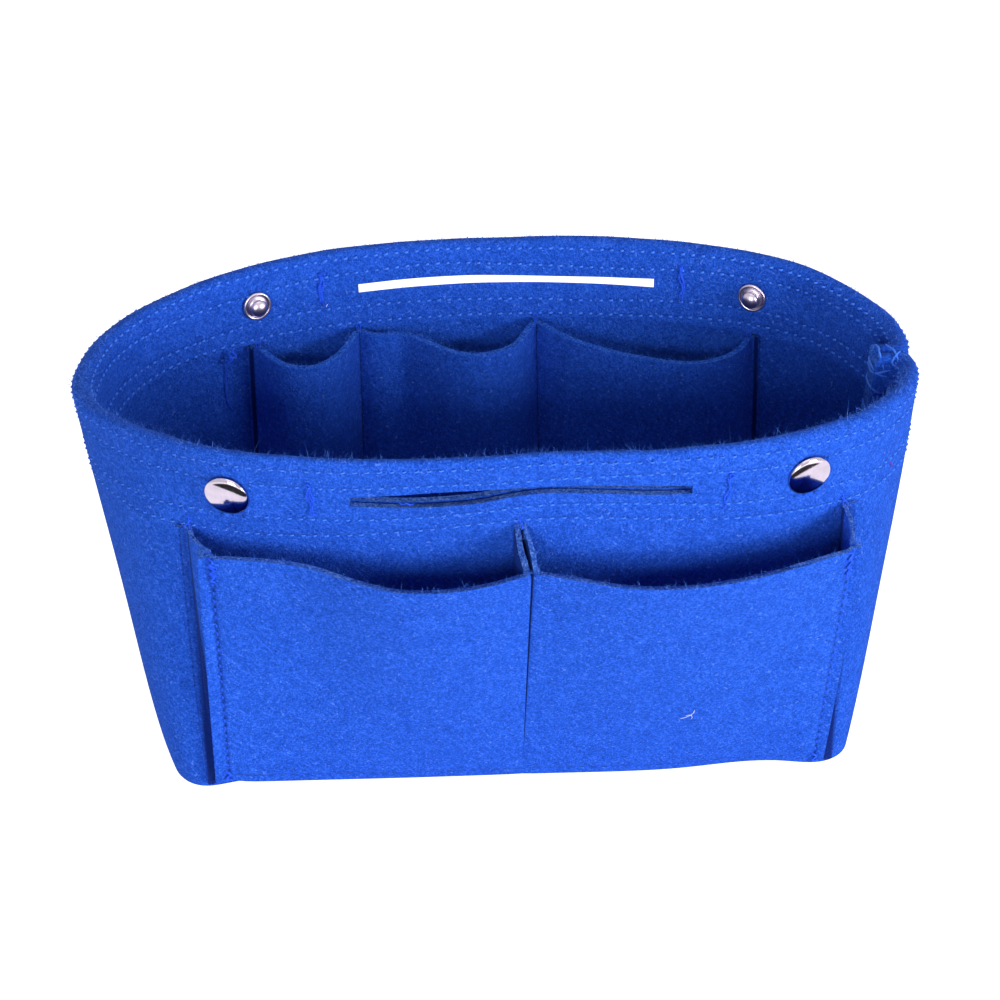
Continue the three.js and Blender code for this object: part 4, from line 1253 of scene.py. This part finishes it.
def stitches(places, along, away, slant=0.0, length=1.0, thickness=1.0):
    """Short arcs of thread that dive into the felt at both ends, one at each place on a surface.

    Each is the place plus the arc's x along the seam, its round section across it and its height off
    the felt. The length and the slant vary a little from stitch to stitch.
    """
    count = len(places)
    across = np.cross(away, along)
    lean = slant + random.normal(0, 0.07, count)
    length = random.normal(length, 0.07, count)
    direction = unit(along + across * lean[:, None])
    across = np.cross(away, direction)
    angle = np.arange(STITCH_SIDES) * 2 * math.pi / STITCH_SIDES
    x = STITCH_X[None, :, None] * length[:, None, None]
    radius = STITCH_RADIUS[None, :, None] * thickness
    y = radius * np.cos(angle)[None, None, :]
    z = STITCH_Z[None, :, None] + radius * 0.8 * np.sin(angle)[None, None, :]
    points = (
        places[:, None, None]
        + direction[:, None, None] * x[..., None]
        + across[:, None, None] * y[..., None]
        + away[:, None, None] * z[..., None]
    )
    rings, around = len(STITCH_X), np.arange(STITCH_SIDES)
    ends = np.stack([around[::-1], (rings - 1) * STITCH_SIDES + around])
    faces = [ring_quads(rings, STITCH_SIDES), ends]
    return points.reshape(-1, 3), [repeated(group, count, rings * STITCH_SIDES) for group in faces]


def thread_piece(name, parts, material):
    """All the threads or fibres of one kind as a piece, their faces numbered on from part to part."""
    faces, total = [], 0
    for points, groups in parts:
        faces += [group + total for group in groups]
        total += len(points)
    return make_piece(name, np.concatenate([points for points, _ in parts]), faces, [material])


SEAM_CLEAR = 5.0 / 720  # turns beside the fin without a stitch
LOWEST_INSIDE = HEM_DEPTH - 1.5  # inside, the lowest row keeps on the hem
row_turns = (np.arange(STITCHES_ROUND) + 0.5) / STITCHES_ROUND
turns = row_turns[(row_turns > SEAM_CLEAR) & (row_turns < 1 - SEAM_CLEAR)]
rim_outside, rim_inside = [], []
for row in range(len(RIM_ROWS)):
    rise = 1 - row_drop(row, turns) / HEIGHT
    along, up, outward = wall_frame(turns, rise)
    rim_outside.append(stitches(wall(turns, rise, 0.02), along, outward, 0.14, 0.85, 0.95))
    rise = 1 - np.minimum(row_drop(row, turns), LOWEST_INSIDE) / HEIGHT
    hem_places = wall(turns, rise, -HEM_THICKNESS - 0.05)
    rim_inside.append(stitches(hem_places, -along, -outward, 0.22, 0.78, 1.35))
thread_piece("thread_rim_outside", rim_outside, thread)
thread_piece("thread_rim_inside", rim_inside, thread_inside)

# Hand stitching and loose threads
# A deeper blue thread, worked by hand: bar tacks on the hem, tacks at the seams' ends, the rows that
# pinch the front pockets' corners and hold their feet, and loops over the fin. A few ends are loose.

hand_thread = thread_material("hand_thread", (0.003, 0.038, 0.50, 1), (0.020, 0.130, 0.95, 1))


PATH_STEP = 0.35  # length of one step along a strand


def strand(points, radius):
    """A thread through a few points, each coordinate a curve over the distance walked.

    Its radius grows in a straight line from a third at each end to the full one.
    """
    points = np.asarray(points, float)
    walked = np.concatenate([[0], np.cumsum(np.linalg.norm(np.diff(points, axis=0), axis=1) + 1e-6)])
    at = np.linspace(0, walked[-1], max(6, int(walked[-1] / PATH_STEP)))
    path = np.stack([curve_through(np.stack([walked, points[:, k]], 1), at) for k in range(3)], -1)
    share = np.linspace(0, 1, len(path))
    return tube(path, radius * np.minimum(1, 0.35 + 6 * np.minimum(share, 1 - share)))


def hem_spots(front, places):
    """Points on the hem from x, drop and stand-off: outside the front or inside the back."""
    x, drop, off = np.array(places, float).T
    rise = 1 - drop / HEIGHT
    turn = turn_at(FITTINGS_SHIFT + x, rise, front)
    return wall(turn, rise, off if front else -HEM_THICKNESS - off)


FRONT_STRAND, BACK_STRAND = 0.27, 0.46  # radius of the bar tacks' strands


def bar_tack(front, x, top, bottom, lean, sway, count):
    """A bar of wavy strands side by side: x = start + lean t + sway sin(turns t + phase)."""
    parts = []
    t = np.linspace(0, 1, 26)
    for k in range(count):
        phase, turns = random.uniform(0, 6), random.uniform(7, 12)
        across = x + 0.55 * (k - (count - 1) / 2) + lean * t + sway * np.sin(turns * t + phase)
        off = -0.5 + 0.85 * np.minimum(1, 7 * np.minimum(t, 1 - t)) + 0.22 * np.sin(turns * t * 0.7 + k)
        drops = top + (bottom - top) * t + 0.3 * np.sin(5 * turns * t)
        radius = FRONT_STRAND if front else BACK_STRAND
        parts.append(strand(hem_spots(front, np.stack([across, drops, off], 1)), radius))
    return parts


def curl(front, places, radius=0.24):
    """A loose end over the hem, through a few places of x, drop and stand-off."""
    return strand(hem_spots(front, places), radius)


# Each bar tack's side, x, top, bottom, lean, sway and strands, and each loose end's side and places.
BAR_TACKS = [
    (True, -64.8, 9.0, 21.6, 1.2, 0.45, 3),
    (True, 64.4, 10.6, 22.4, -1.0, 0.5, 2),
    (False, -66.4, 7.9, 18.6, -0.5, 0.35, 3),
    (False, 64.4, 6.4, 18.6, 0.4, 0.55, 2),
]
LOOSE_ENDS = [
    (True, [(-65.8, 8.6, 0.1), (-64.6, 7.9, 0.7), (-63.8, 9.2, 0.6), (-64.4, 12.0, 0.5), (-63.2, 15.5, 0.6)]),
    (True, [(64.6, 11.2, 0.2), (65.4, 10.2, 0.6), (64.6, 9.2, 0.7), (63.8, 10.1, 0.6), (64.5, 11.4, 0.3)]),
    (True, [(63.5, 21.6, 0.2), (62.9, 22.9, 0.6), (62.2, 23.6, 0.9), (61.6, 23.4, 1.1)]),
    (False, [(-67.0, 9.4, 0.1), (-67.2, 7.6, 0.8), (-66.0, 6.7, 1.1), (-65.0, 7.5, 0.9), (-65.8, 8.9, 0.4)]),
    (False, [(-66.6, 17.2, 0.2), (-65.9, 18.8, 0.8), (-65.3, 19.6, 0.9)]),
    (False, [(64.9, 16.4, 0.2), (63.9, 17.6, 0.9), (65.1, 18.8, 1.0), (64.2, 20.0, 0.5), (65.0, 20.4, 0.2)]),
    (True, [(-37.5, 14.6, 0.1), (-36.2, 15.3, 0.5), (-34.9, 14.8, 0.6), (-33.8, 15.6, 0.4), (-32.6, 15.2, 0.1)]),
]
tacks = [part for bar in BAR_TACKS for part in bar_tack(*bar)]
tacks += [curl(front, places) for front, places in LOOSE_ENDS]
thread_piece("thread_bar_tacks", tacks, hand_thread)

# Inside the back: a pair of tacks at the top of each sewn line, the back strip's pleat tacks, which come
# through beside the middle, and its left flange's cluster with a long end.
PAIR_SPREAD = 0.35
LEFT_CLUSTER = [
    [(-98.6, 28.0, -0.2), (-99.6, 29.6, 0.7), (-98.4, 30.8, 0.9), (-100.6, 31.6, 0.8), (-99.6, 33.2, -2.4)],
    [(-100.8, 30.2, 0.1), (-99.8, 31.8, 0.9), (-101.4, 33.0, 0.2), (-100.4, 34.6, -2.6)],
]
LONG_END = [(-100.6, 33.0, -2.2), (-101.3, 38.0, -2.4), (-101.6, 46.0, -2.6), (-100.6, 52.0, -2.6)]
LONG_END += [(-98.6, 54.2, -2.8), (-96.8, 52.8, -2.9)]
seam_tacks = []
for x, drop in zip(SEWN_LINES, (28.6, 28.0, 28.0, 28.6)):
    for k in (-PAIR_SPREAD, PAIR_SPREAD):
        path = [(x + k, drop - 1.0, -0.2), (x + k * 2, drop + 0.2, 0.5)]
        path += [(x + k, drop + 1.6, 0.3), (x - k, drop + 3.2, -0.2)]
        seam_tacks.append(curl(False, path, 0.25))
for x, drop in ((-1.8, 24.0), (-1.7, 27.5), (-2.0, 32.0), (-2.2, 36.6)):
    over_hem = drop < HEM_DEPTH + 0.5
    start, middle = (2.9, 0.4) if over_hem else (-ONE_LAYER, 0.4 - ONE_LAYER)
    seam_tacks.append(curl(False, [(x, drop - 1.1, start), (x, drop, middle), (x, drop + 1.1, -ONE_LAYER)], 0.2))
seam_tacks += [curl(False, path, 0.42) for path in LEFT_CLUSTER]
seam_tacks.append(curl(False, LONG_END, 0.2))
thread_piece("thread_inner_tacks", seam_tacks, hand_thread)

LEFT_PANEL, RIGHT_PANEL = slice(PANEL_START, PANEL_END), slice(-PANEL_END, -PANEL_START)


def on_panel(places):
    """Points on the front panels from x, height up the felt and stand-off.

    Each lies on a straight line between the face's own points, along its row and then between rows.
    """
    found = []
    for x, height, off in places:
        row = np.interp(height / HEIGHT, strip_rises, np.arange(len(strip_rises)))
        low = min(int(row), len(strip_rises) - 2)
        ends = []
        for level in (low, low + 1):
            line = front_faces[0][level, RIGHT_PANEL if x > 0 else LEFT_PANEL]
            ends.append(np.array([np.interp(x, line[:, 0], line[:, k]) for k in range(3)]))
        found.append(ends[0] + (ends[1] - ends[0]) * (row - low) + np.array([0, -off, 0]))
    return np.array(found)


def pinch_x(side, pocket, height):
    """x of a pinched corner's stitches at a height up the felt."""
    foot, top = pocket["stitches"]
    return FITTINGS_SHIFT + side * (foot + (top - foot) * height / STRIP_TOP)


# A pinched corner's hand stitches: height up the felt, half width and half height of each zigzag.
ZIGZAGS = [(STRIP_TOP - 2.0, 1.1, 1.8), (STRIP_TOP - 5.5, 1.4, 2.2), (STRIP_TOP - 8.6, 0.9, 2.0), (5.0, 1.2, 2.4)]
corner_threads = []
for side, pocket in ((-1, LEFT_POCKET), (1, RIGHT_POCKET)):
    heights = np.arange(6.0, STRIP_TOP - 5.0, STITCH)
    places = on_panel([(pinch_x(side, pocket, height), height, -0.05) for height in heights])
    up = unit(np.gradient(places, axis=0))
    corner_threads.append(stitches(places, up, unit(np.cross([1.0, 0, 0], up)), 0.1, 0.8))
    for height, wide, tall in ZIGZAGS:
        x = pinch_x(side, pocket, height)
        zigzag = [(x - wide, height + tall, 0.1), (x + wide * 0.6, height + tall * 0.4, 0.75)]
        zigzag += [(x - wide * 0.5, height - tall * 0.4, 0.8), (x + wide, height - tall, 0.1)]
        corner_threads.append(strand(on_panel(zigzag), 0.42))
    foot_x = FITTINGS_SHIFT + side * np.arange(7.0, abs(pinch_x(side, pocket, 5.0)) - 8.0, STITCH)
    foot = on_panel([(x, FOOT_SEAM, -0.1) for x in foot_x])
    along, away = (np.tile(line, (len(foot), 1)) for line in ([float(side), 0, 0], [0, -1.0, 0]))
    corner_threads.append(stitches(foot, along, away, 0.0, 0.8))
thread_piece("thread_pocket_corners", corner_threads, hand_thread)

# On the front wall: tacks over both flanges' tops and the pleat, and a small ring of loose thread.
wall_tacks = []
for x, drop in ((-103.6, 27.6), (102.9, 27.4)):
    for k in (-1, 1):
        path = [(x - 0.8 * k, drop - 0.2, 0.0), (x, drop + 0.8, 0.9)]
        path += [(x + 0.8 * k, drop + 2.2, 1.8), (x + 0.5 * k, drop + 3.0, 1.6)]
        wall_tacks.append(curl(True, path))
    wall_tacks.append(curl(True, [(x - 0.2, drop - 1.2, -0.2), (x + 0.1, drop, 0.5), (x - 0.1, drop + 1.6, 1.4)]))
over_pleat = [(0.0, 22.4, 0.2), (-0.4, 23.6, 0.8), (0.3, 24.8, 1.4), (-0.1, 26.4, 2.6)]
small_ring = [(106.6 + 1.15 * math.cos(a), 33.6 + 1.3 * math.sin(a), 0.5) for a in np.linspace(0, 6.0, 9)]
wall_tacks += [curl(True, path, 0.25) for path in (over_pleat, small_ring)]
thread_piece("thread_wall_tacks", wall_tacks, hand_thread)

FIN_STRAND = 0.38


def round_fin(drop, depth, slip, lift):
    """A loop of hand thread round the fin's tip: off the back half, over the tip and onto the front half.

    The loop runs depth deep on both faces, the front end slips down the fin and the middle is lifted.
    """
    rise = 1 - drop / HEIGHT
    edge = wall(np.zeros(1), rise, -2 * FOLD_RADIUS)[0] - np.array([FIN_DEPTH, 0, 0])
    half = fin_y(-2 * FOLD_RADIUS if drop < HEM_DEPTH else -FELT) + 0.25
    shape = [(depth, half, 0), (0.6, half + 0.1, 0.2), (-0.5, half * 0.6, lift), (-0.6, 0, lift * 1.2)]
    shape += [(-0.5, -half * 0.6, lift), (0.6, -half - 0.1, slip * 0.4)]
    shape += [(depth * 0.6, -half - 0.15, slip), (depth, -half, slip * 1.3)]
    return strand(edge + np.array(shape), FIN_STRAND)


# Each loop's drop, depth, slip and lift. The ends lie over the fin's crest, from its point at the rim.
FIN_LOOPS = [(5.4, 4.2, -1.8, 0.4), (7.0, 5.5, 1.2, 0.2), (12.5, 3.2, -1.6, 0.0)]
FIN_LOOPS += [(22.5, 3.4, 1.4, 0.1), (24.0, 2.4, -2.2, 0.0), (33.0, 2.6, 1.0, 0.0)]
LONG_CREST_ENDS = [
    [(-5.4, 4.6, -3.2), (-5, 3.4, 0), (-4.4, 0.6, 0.7), (-4.6, -2.6, 0.5), (-4, -5.2, -1.6), (-3.2, -6.1, -4.6)],
    [(-1.4, 3.6, 0.2), (-1, 1, 0.6), (0.2, -2, 0.9), (1, -4.4, -0.2), (1.4, -5.8, -2.6), (0.4, -6.2, -4.2)],
]
SHORT_CREST_END = [(2.6, -2.4, 0.6), (0.6, -4.6, 0.1), (-0.6, -5.9, -2.2), (1.8, -6.3, -3.6)]
crest = wall(np.zeros(1), 1.0, -2 * FOLD_RADIUS)[0]
fin_loops = [round_fin(*loop) for loop in FIN_LOOPS]
fin_loops += [strand(crest + np.array(path), FIN_STRAND) for path in LONG_CREST_ENDS]
fin_loops.append(strand(crest + np.array(SHORT_CREST_END), 0.34))
thread_piece("thread_fin_loops", fin_loops, thread_inside)

# Loose fibres
# Felt sheds. Short fibres of the felt itself stand off the rim's crest, the cut edges and the faces, and
# a little pale lint and one reddish fibre from elsewhere have caught on it.


def fibre_material(name, dark, light):
    """Single fibres, a little different from one another."""
    material, shade = new_material(name)
    place = object_place(shade)
    colour = noise(shade, place, 500.0, 1.0).between(0.35, 0.65).blend(dark, light)
    return surfaced(material, shade, {"Base Color": colour, "Roughness": 0.8, "Specular IOR Level": 0.3})


def fibres(roots, directions, lengths, thickness):
    """Curved three-sided fibres: root + length (t direction + t^2 bend), tapering to the tip.

    The directions and bends stray at random, and the fibres start a little under the surface.
    """
    count = len(roots)
    directions = unit(directions + random.normal(0, 0.55, (count, 3)))
    bend = random.normal(0, 0.5, (count, 3))
    t = np.array([-0.15, 0.35, 0.7, 1.0])
    share = t[None, :, None]
    reached = directions[:, None] * share + bend[:, None] * share**2
    path = roots[:, None] + reached * lengths[:, None, None]
    side = unit(np.cross(directions, bend))[:, None]
    other = np.cross(side, directions[:, None])
    angle = (np.arange(3) * 2 * math.pi / 3)[None, None, :, None]
    ring = np.cos(angle) * side[:, :, None] + np.sin(angle) * other[:, :, None]
    points = path[:, :, None] + ring * (thickness * (1.15 - t))[None, :, None, None]
    faces = [ring_quads(len(t), 3), np.array([[2, 1, 0], [9, 10, 11]])]
    return points.reshape(-1, 3), [repeated(group, count, 3 * len(t)) for group in faces]


WRAP_FIBRE, EDGE_FIBRE = 0.06, 0.055
off_fin = slice(side_columns, -side_columns)


def shed(rows, count, length):
    """Fibres at random places of some rows of the wrap's outer face."""
    normals = grid_normals(outer_face)
    places, directions = (grid[rows, off_fin].reshape(-1, 3) for grid in (outer_face, normals))
    chosen = random.integers(0, len(places), count)
    roots = places[chosen] + random.normal(0, 0.7, (count, 3)) * np.array([1, 0.3, 0.1])
    return fibres(roots, directions[chosen], random.gamma(3.0, length / 3, count), WRAP_FIBRE)


blue_fibres = fibre_material("loose_fibres", (0.02, 0.13, 0.74, 1), (0.10, 0.30, 1.0, 1))
rim_rows = slice(wall_count - 1, wall_count + RIM_STEPS + 1)
on_wrap = [shed(rim_rows, 4800, 1.15), shed(slice(2, wall_count), 2600, 0.5), shed(hem_part, 900, 0.5)]
thread_piece("loose_fibres_wrap", on_wrap, blue_fibres)
PER_EDGE = 900
on_edges = []
for outer, inner in (front_faces, back_faces[::-1], inner_faces):
    edge = np.stack([outer[-1], (outer[-1] + inner[-1]) / 2, inner[-1]])
    chosen = random.integers(0, edge.shape[1], PER_EDGE)
    roots = edge[random.integers(0, 3, PER_EDGE), chosen] + random.normal(0, 0.25, (PER_EDGE, 3))
    upright = np.tile([0, 0, 1.0], (PER_EDGE, 1))
    on_edges.append(fibres(roots, upright, random.gamma(3.0, 0.26, PER_EDGE), EDGE_FIBRE))
thread_piece("loose_fibres_strips", on_edges, blue_fibres)

lint_material = fibre_material("lint", (0.70, 0.72, 0.78, 1), (0.85, 0.86, 0.90, 1))
lint = [
    strand(on_panel([(55.2, 33.6, 0.2), (57.4, 35.2, 0.7), (59.4, 37.4, 0.8), (59.9, 38.6, 0.3)]), 0.09),
    strand(on_panel([(57.0, 35.6, 0.3), (58.6, 36.2, 0.8), (59.2, 34.6, 0.7), (59.0, 33.2, 0.3)]), 0.07),
    strand(hem_spots(True, [(107.2, 33.0, 0.7), (106.5, 33.7, 0.9), (105.9, 33.4, 0.7)]), 0.16),
    strand(hem_spots(False, [(-64.4, 18.6, 0.9), (-64.9, 19.0, 1.0), (-65.0, 19.6, 0.8)]), 0.14),
]
thread_piece("lint", lint, lint_material)
red_material = fibre_material("red_fibre", (0.12, 0.02, 0.30, 1), (0.22, 0.04, 0.40, 1))
red_fibre = strand(hem_spots(True, [(121.6, 23.2, 0.1), (122.2, 24.4, 0.4), (122.0, 25.8, 0.1)]), 0.16)
thread_piece("red_fibre", [red_fibre], red_material)

# Camera, floor and light
# A long lens from a little above, a pale floor that keeps the bag's shadow, and soft studio lamps.

ELEVATION, YAW, ROLL = math.radians(31.0), math.radians(1.5), math.radians(-0.8)
CAMERA_PLACE = Vector((-0.0200, -0.7283, 0.5128))
FOCAL_PIXELS, FRAME_PIXELS, SENSOR = 2480, 1000, 36
level_ahead = Vector((math.sin(YAW), math.cos(YAW), 0))
ahead = level_ahead * math.cos(ELEVATION) - Vector((0, 0, math.sin(ELEVATION)))
level = Vector((math.cos(YAW), -math.sin(YAW), 0))
overhead = level.cross(ahead)
right = level * math.cos(ROLL) + overhead * math.sin(ROLL)
upward = overhead * math.cos(ROLL) - level * math.sin(ROLL)
camera_data = bpy.data.cameras.new("camera")
camera_data.lens, camera_data.sensor_width = FOCAL_PIXELS / FRAME_PIXELS * SENSOR, SENSOR
camera_data.clip_start, camera_data.clip_end = 0.01, 50
camera = bpy.data.objects.new("camera", camera_data)
bpy.context.scene.collection.objects.link(camera)
turned = Matrix((right, upward, -ahead)).transposed().to_4x4()
camera.matrix_world = Matrix.Translation(CAMERA_PLACE) @ turned
bpy.context.scene.camera = camera
bpy.context.scene.view_settings.view_transform = "Standard"

CAMERA_RAY, GLOSSY_RAY, TRANSMISSION_RAY = 0, 3, 6  # outputs of the Light Path node
FLOOR_DROP = 0.0004  # metres under the bag, so the two never share a plane


def seen_rays(shade):
    """1 for rays that the camera, a mirror or a glass sees, and 0 for rays that only light the bag."""
    camera_ray, glossy, through = (
        shade.node("LightPath", {}, {}, output) for output in (CAMERA_RAY, GLOSSY_RAY, TRANSMISSION_RAY)
    )
    return camera_ray.maths("MAXIMUM", glossy).maths("MAXIMUM", through)


def stage_sheet(name, across, along, height, material):
    """A flat rectangle of the studio, in metres: its x range, its y range and its height."""
    (left, right), (near, far) = across, along
    corners = [(left, near, height), (right, near, height), (right, far, height), (left, far, height)]
    mesh = bpy.data.meshes.new(name)
    mesh.from_pydata(corners, [], [(0, 1, 2, 3)])
    mesh.materials.append(material)
    sheet = bpy.data.objects.new(name, mesh)
    bpy.context.scene.collection.objects.link(sheet)


floor_material, shade = new_material("floor")
# The floor glows: white for the camera and for mirrors, and faintly for all other rays, which adds painted bounce
# light to the bag from below.
glow = shade.node("Emission", {}, {"Color": (1, 1, 1, 1), "Strength": seen_rays(shade) * 0.85 + 0.06})
matt = shade.node("BsdfDiffuse", {}, {"Color": (0.75, 0.75, 0.75, 1)})
shade.node("OutputMaterial", {}, {0: shade.node("AddShader", {}, {0: glow, 1: matt})})
stage_sheet("floor", (-6.0, 6.0), (-6.0, 6.0), -FLOOR_DROP, floor_material)

world = bpy.data.worlds.new("world")
bpy.context.scene.world = world
world.use_nodes = True
world.node_tree.nodes.clear()
shade = Shade(world.node_tree)
strength = seen_rays(shade) * 0.81 + 0.19
sky = shade.node("Background", {}, {"Color": (1, 1, 1, 1), "Strength": strength})
shade.node("OutputWorld", {}, {0: sky})

LAMP_AIM = Vector((0, 0, 0.07))


def lamp(name, place, power, size):
    """A soft square lamp that looks at the bag."""
    data = bpy.data.lights.new(name, "AREA")
    data.energy, data.size = power, size
    lamp_object = bpy.data.objects.new(name, data)
    lamp_object.location = place
    lamp_object.rotation_euler = (LAMP_AIM - Vector(place)).to_track_quat("-Z", "Y").to_euler()
    bpy.context.scene.collection.objects.link(lamp_object)


lamp("key", (1.50, -1.20, 0.42), 37.0, 0.7)
lamp("front", (-0.50, -1.85, 0.50), 27.0, 0.8)
lamp("top", (0.1, -0.3, 1.6), 2.5, 1.0)
lamp("back", (-0.4, 1.8, 0.7), 11.0, 0.9)

# A dark card on the floor in front, which only mirrored rays see, makes the dark band in the caps.
card_material, shade = new_material("dark_card")
mirrored = shade.node("LightPath", {}, {}, GLOSSY_RAY)
dark = shade.node("BsdfDiffuse", {}, {"Color": (0.05, 0.05, 0.055, 1)})
clear = shade.node("BsdfTransparent", {})
shade.node("OutputMaterial", {}, {0: shade.node("MixShader", {}, {0: mirrored, 1: clear, 2: dark})})
stage_sheet("dark_card", (-0.4, 0.4), (-0.56, -0.19), 0.003, card_material)
